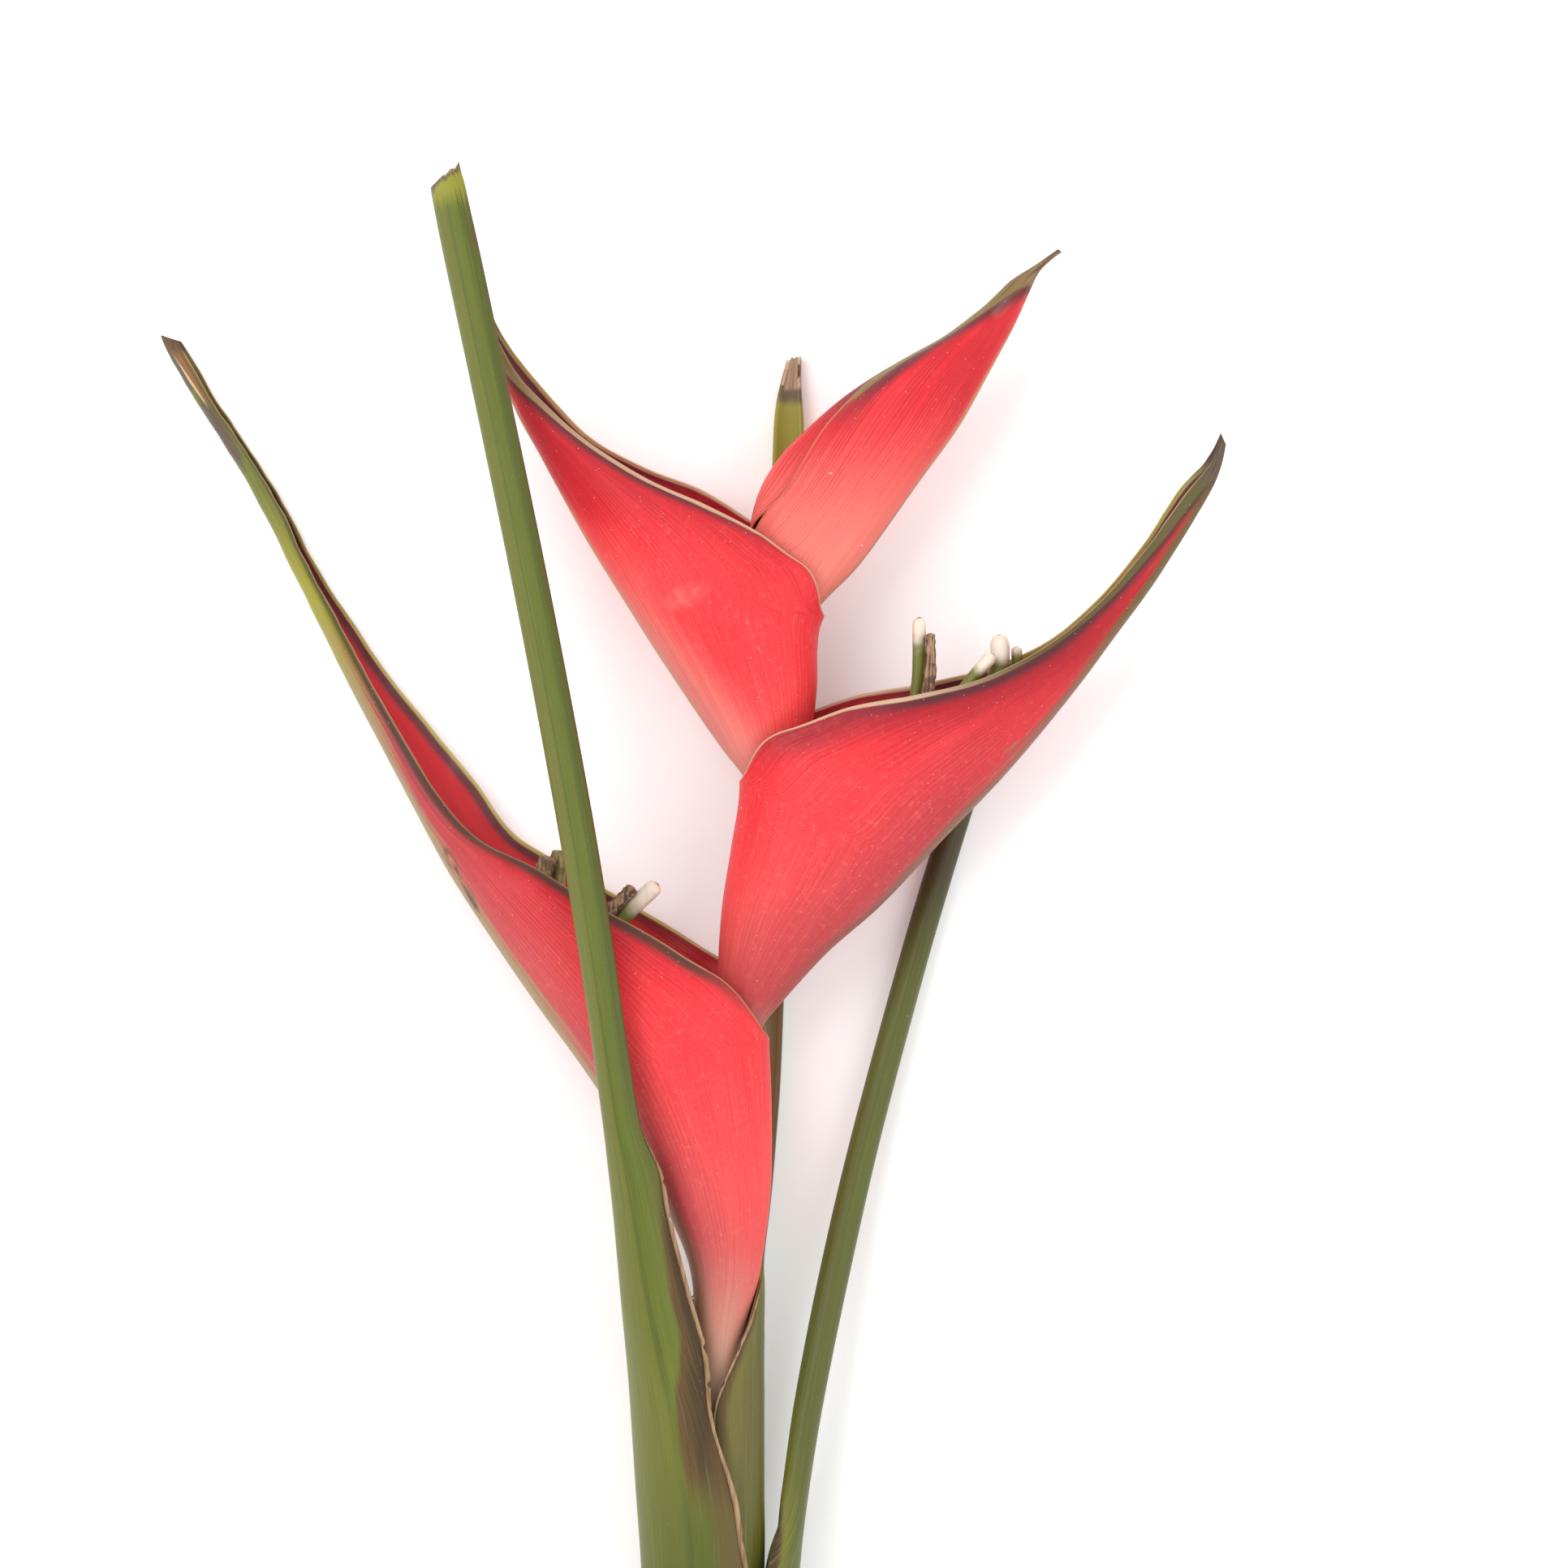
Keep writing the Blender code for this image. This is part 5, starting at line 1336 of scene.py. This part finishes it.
def add_florets(name, feet, florets, looks, skin):
    """Add the florets of one bract as one piece."""
    shape = bmesh.new()
    layers = {key: shape.verts.layers.float.new(key) for key in ("place", "dry", "green", "seed")}
    for index, ((radius, *route), look) in enumerate(zip(florets, looks)):
        foot = min(feet, key=lambda spot: (Vector(spot) - Vector(route[0])).length)
        rows = [list(foot)] + [list(spot) for spot in route]
        points = [Vector(blend_rows(rows, step / FLORET_STEPS * (len(rows) - 1)))
                  for step in range(FLORET_STEPS + 1)]
        add_tube(shape, points, floret_reach(radius, look, index), FLORET_SIDES,
                 floret_numbers(look, index), layers)
    close_shape(shape)
    return add_piece(name + "_open", make_mesh(name, shape, [skin]), [name])


def floret_skin(name, shades):
    """Fresh florets go from green to cream white, and dried ones are streaked brown."""
    paint = Paint(name)
    place = paint.place()
    along, dry, green, seed = [paint.attribute(key) for key in ("place", "dry", "green", "seed")]
    spot = paint.vector(place[0] * 1.4 + seed, place[1] * 0.12, place[2] * 1.4)
    fibre = paint.noise(spot, 1.0, 3.0)
    cloud = paint.noise(paint.vector(place[0] + seed, place[1], place[2]), 0.3, 2.0)
    share = (along + (cloud - 0.5) * 0.08 - green).ramp(-0.04, 0.05)
    fresh = paint.mix(share, shades.floret_green, shades.floret_white)
    fresh = paint.mix(fibre.ramp(0.5, 0.75) * 0.2, fresh, shades.floret_green)
    fresh = paint.mix(along.ramp(0.986, 0.994) * 0.9, fresh, shades.floret_dried)
    old = paint.mix(fibre.ramp(0.4, 0.6), shades.floret_dried, shades.papery_edge)
    old = paint.mix(cloud.ramp(0.5, 0.62) * 0.7, old, shades.bract_band)
    base = paint.mix(dry, fresh, old)
    return paint.finish(base, 0.45 + dry * 0.25, fibre, 0.1 * MM, Subsurface_Weight=0.08,
                        Subsurface_Scale=0.002)


def stalk_skin(name, shades):
    """The skin of the flower stalk: pale olive with green fibres."""
    paint = Paint(name)
    place = paint.place()
    fibre = paint.noise(paint.vector(place[0] * 2, place[1] * 0.03, place[2] * 2), 1.0, 3.0)
    base = paint.mix(fibre.ramp(0.4, 0.7) * 0.5, shades.bract_foot, shades.stalk)
    return paint.finish(base, 0.5, fibre, vein_relief())


def worked_out(shades, look):
    """A look with its colours for a material: a name is the user's, three numbers a screen's."""
    if isinstance(look, str):
        return tuple(getattr(shades, look))
    if isinstance(look, dict):
        return {key: worked_out(shades, value) for key, value in look.items()}
    if isinstance(look, tuple) and len(look) == 3:
        return srgb(*look)
    if isinstance(look, (tuple, list)):
        return [worked_out(shades, value) for value in look]
    return look


def bract_paints(number, shades, look):
    """The three materials of one bract: outside, inside and free edge."""
    look = worked_out(shades, look)
    return [
        bract_outside(f"bract_{number}_outside", shades, look),
        bract_inside(f"bract_{number}_inside", shades, look),
        bract_rim(f"bract_{number}_edge", shades, look),
    ]


class HELICONIA_OT_bracts(bpy.types.Operator):
    """Add the four bracts as thin blades with waved free edges"""

    bl_idname = "heliconia.bracts"
    bl_label = "Bracts"

    def execute(self, context):
        sizes, shades = stem_settings()
        shapes = [
            (open_rows(BRACT_1), BRACT_1_CROTCH, 0.0), (open_rows(BRACT_2), BRACT_2_CROTCH, 0.0),
            (open_rows(BRACT_3), BRACT_3_CROTCH, 0.0),
            (rolled_rows(BRACT_4), BRACT_4_CROTCH, MARGIN_ROLL),
        ]
        for number, ((rows, crotch, roll), look) in enumerate(zip(shapes, BRACT_LOOKS), 1):
            paints = bract_paints(number, shades, look)
            add_bract(f"bract_{number}", rows, crotch, sizes, paints, roll)
        return {"FINISHED"}


class HELICONIA_OT_flower_stalk(bpy.types.Operator):
    """Add the round flower stalk that every bract grows from"""

    bl_idname = "heliconia.flower_stalk"
    bl_label = "Flower stalk"

    def execute(self, context):
        shades = stem_settings()[1]
        count = STALK_STEPS * (len(FLOWER_STALK) - 1)
        rows = [blend_rows(FLOWER_STALK, step / STALK_STEPS) for step in range(count + 1)]
        shape = bmesh.new()
        add_tube(shape, [Vector(row[:3]) for row in rows],
                 lambda place, angle: rows[round(place * count)][3], STALK_SIDES,
                 lambda place: {}, {})
        mark_cuts(close_shape(shape))
        paints = [stalk_skin("flower_stalk_skin", shades), cut_face("flower_stalk_cut", shades)]
        mesh = make_mesh("flower_stalk_round", shape, paints)
        add_piece("flower_stalk_round", mesh, ["flower_stalk"])
        return {"FINISHED"}


class HELICONIA_OT_florets(bpy.types.Operator):
    """Add the florets that stand in the two lower bracts"""

    bl_idname = "heliconia.florets"
    bl_label = "Florets"

    def execute(self, context):
        skin = floret_skin("floret_skin", stem_settings()[1])
        add_florets("florets_bract_1", [FLORETS_BRACT_1_FOOT], FLORETS_BRACT_1,
                    FLORET_LOOKS_BRACT_1, skin)
        add_florets("florets_bract_2", [FLORETS_BRACT_2_FOOT, FLORETS_BRACT_2_SECOND_FOOT],
                    FLORETS_BRACT_2, FLORET_LOOKS_BRACT_2, skin)
        return {"FINISHED"}


class HELICONIA_OT_leaf_stalks(bpy.types.Operator):
    """Add the three leaf stalks with their sheaths and papery margins"""

    bl_idname = "heliconia.leaf_stalks"
    bl_label = "Leaf stalks"

    def execute(self, context):
        sizes, shades = stem_settings()
        cut = cut_face("leaf_cut", shades)
        for name, cuts, top_slope, ragged, ridges in LEAVES:
            look = worked_out(shades, LEAF_LOOKS[name])
            paints = [leaf_face(name + "_skin", shades, look), cut]
            add_leaf(name, cuts, top_slope, ragged, ridges, sizes, paints)
        skin = papery_skin("papery_margin", shades)
        for name, cuts, corner, start_y, end_y, width in MARGINS:
            margin_ribbon(name, cuts, corner, start_y, end_y, width, sizes, skin)
        return {"FINISHED"}


def area_light(name, place, target, size, power):
    """A soft square light that shines at a target."""
    lamp = bpy.data.lights.new(name, "AREA")
    lamp.energy = power
    lamp.size = size
    light = bpy.data.objects.new(name, lamp)
    light.location = place
    light.rotation_euler = (Vector(target) - Vector(place)).to_track_quat("-Z", "Y").to_euler()
    bpy.context.scene.collection.objects.link(light)
    return light


class HELICONIA_OT_stage(bpy.types.Operator):
    """Add the floor, the soft lights and the camera that looks down on the stem"""

    bl_idname = "heliconia.stage"
    bl_label = "Stage"

    def execute(self, context):
        sizes, shades = stem_settings()
        scene = context.scene
        ground = bmesh.new()
        bmesh.ops.create_grid(ground, x_segments=1, y_segments=1, size=FLOOR_HALF)
        bmesh.ops.translate(ground, verts=ground.verts, vec=(0.0, 0.0, -FLOOR_DROP))
        paint = Paint("floor").finish(tuple(shades.floor), 0.9, Specular_IOR_Level=0.1,
                                      Emission_Color=(1.0, 1.0, 1.0),
                                      Emission_Strength=FLOOR_GLOW)
        floor = bpy.data.objects.new("floor", make_mesh("floor", ground, [paint]))
        scene.collection.objects.link(floor)
        world = bpy.data.worlds.new("studio")
        world.use_nodes = True
        sky = world.node_tree.nodes["Background"].inputs
        sky["Color"].default_value = (1, 1, 1, 1)
        sky["Strength"].default_value = SKY_STRENGTH
        scene.world = world
        scene.view_settings.view_transform = "Standard"
        for name, place, size, power in LIGHTS:
            area_light(name, place, LIGHT_AIM, size, power)
        lens = bpy.data.cameras.new("camera")
        lens.sensor_width = SENSOR_WIDTH
        lens.lens = SENSOR_WIDTH * (sizes.camera_height - BRACT_HEIGHT) / sizes.view_width
        lens.clip_end = FAR_CLIP
        camera = bpy.data.objects.new("camera", lens)
        camera.location = (*VIEW_CENTRE, sizes.camera_height)
        scene.collection.objects.link(camera)
        scene.camera = camera
        return {"FINISHED"}


class HELICONIA_PT_panel(bpy.types.Panel):
    """The list of the stem's groups of pieces, with its sizes and colours"""

    bl_label = "Lobster claw heliconia"
    bl_idname = "HELICONIA_PT_panel"
    bl_space_type = "VIEW_3D"
    bl_region_type = "UI"
    bl_category = "Heliconia"

    def draw(self, context):
        for kind in OPERATORS:
            self.layout.operator(kind.bl_idname)
        for group in (context.scene.heliconia_sizes, context.scene.heliconia_colours):
            box = self.layout.box()
            for name in group.bl_rna.properties.keys():
                if name not in {"rna_type", "name"}:
                    box.prop(group, name)


OPERATORS = (
    HELICONIA_OT_bracts,
    HELICONIA_OT_flower_stalk,
    HELICONIA_OT_florets,
    HELICONIA_OT_leaf_stalks,
    HELICONIA_OT_stage,
)
CLASSES = (HeliconiaSizes, HeliconiaColours, *OPERATORS, HELICONIA_PT_panel)


def register():
    """Make the operators, the panel and the settings known."""
    for kind in CLASSES:
        bpy.utils.register_class(kind)
    bpy.types.Scene.heliconia_sizes = PointerProperty(type=HeliconiaSizes)
    bpy.types.Scene.heliconia_colours = PointerProperty(type=HeliconiaColours)


def unregister():
    """Take them away again."""
    del bpy.types.Scene.heliconia_sizes
    del bpy.types.Scene.heliconia_colours
    for kind in reversed(CLASSES):
        bpy.utils.unregister_class(kind)


def main():
    """Build every piece and the stage."""
    register()
    bpy.ops.heliconia.bracts()
    bpy.ops.heliconia.flower_stalk()
    bpy.ops.heliconia.florets()
    bpy.ops.heliconia.leaf_stalks()
    bpy.ops.heliconia.stage()
    bpy.context.view_layer.update()


if __name__ == "__main__":
    main()
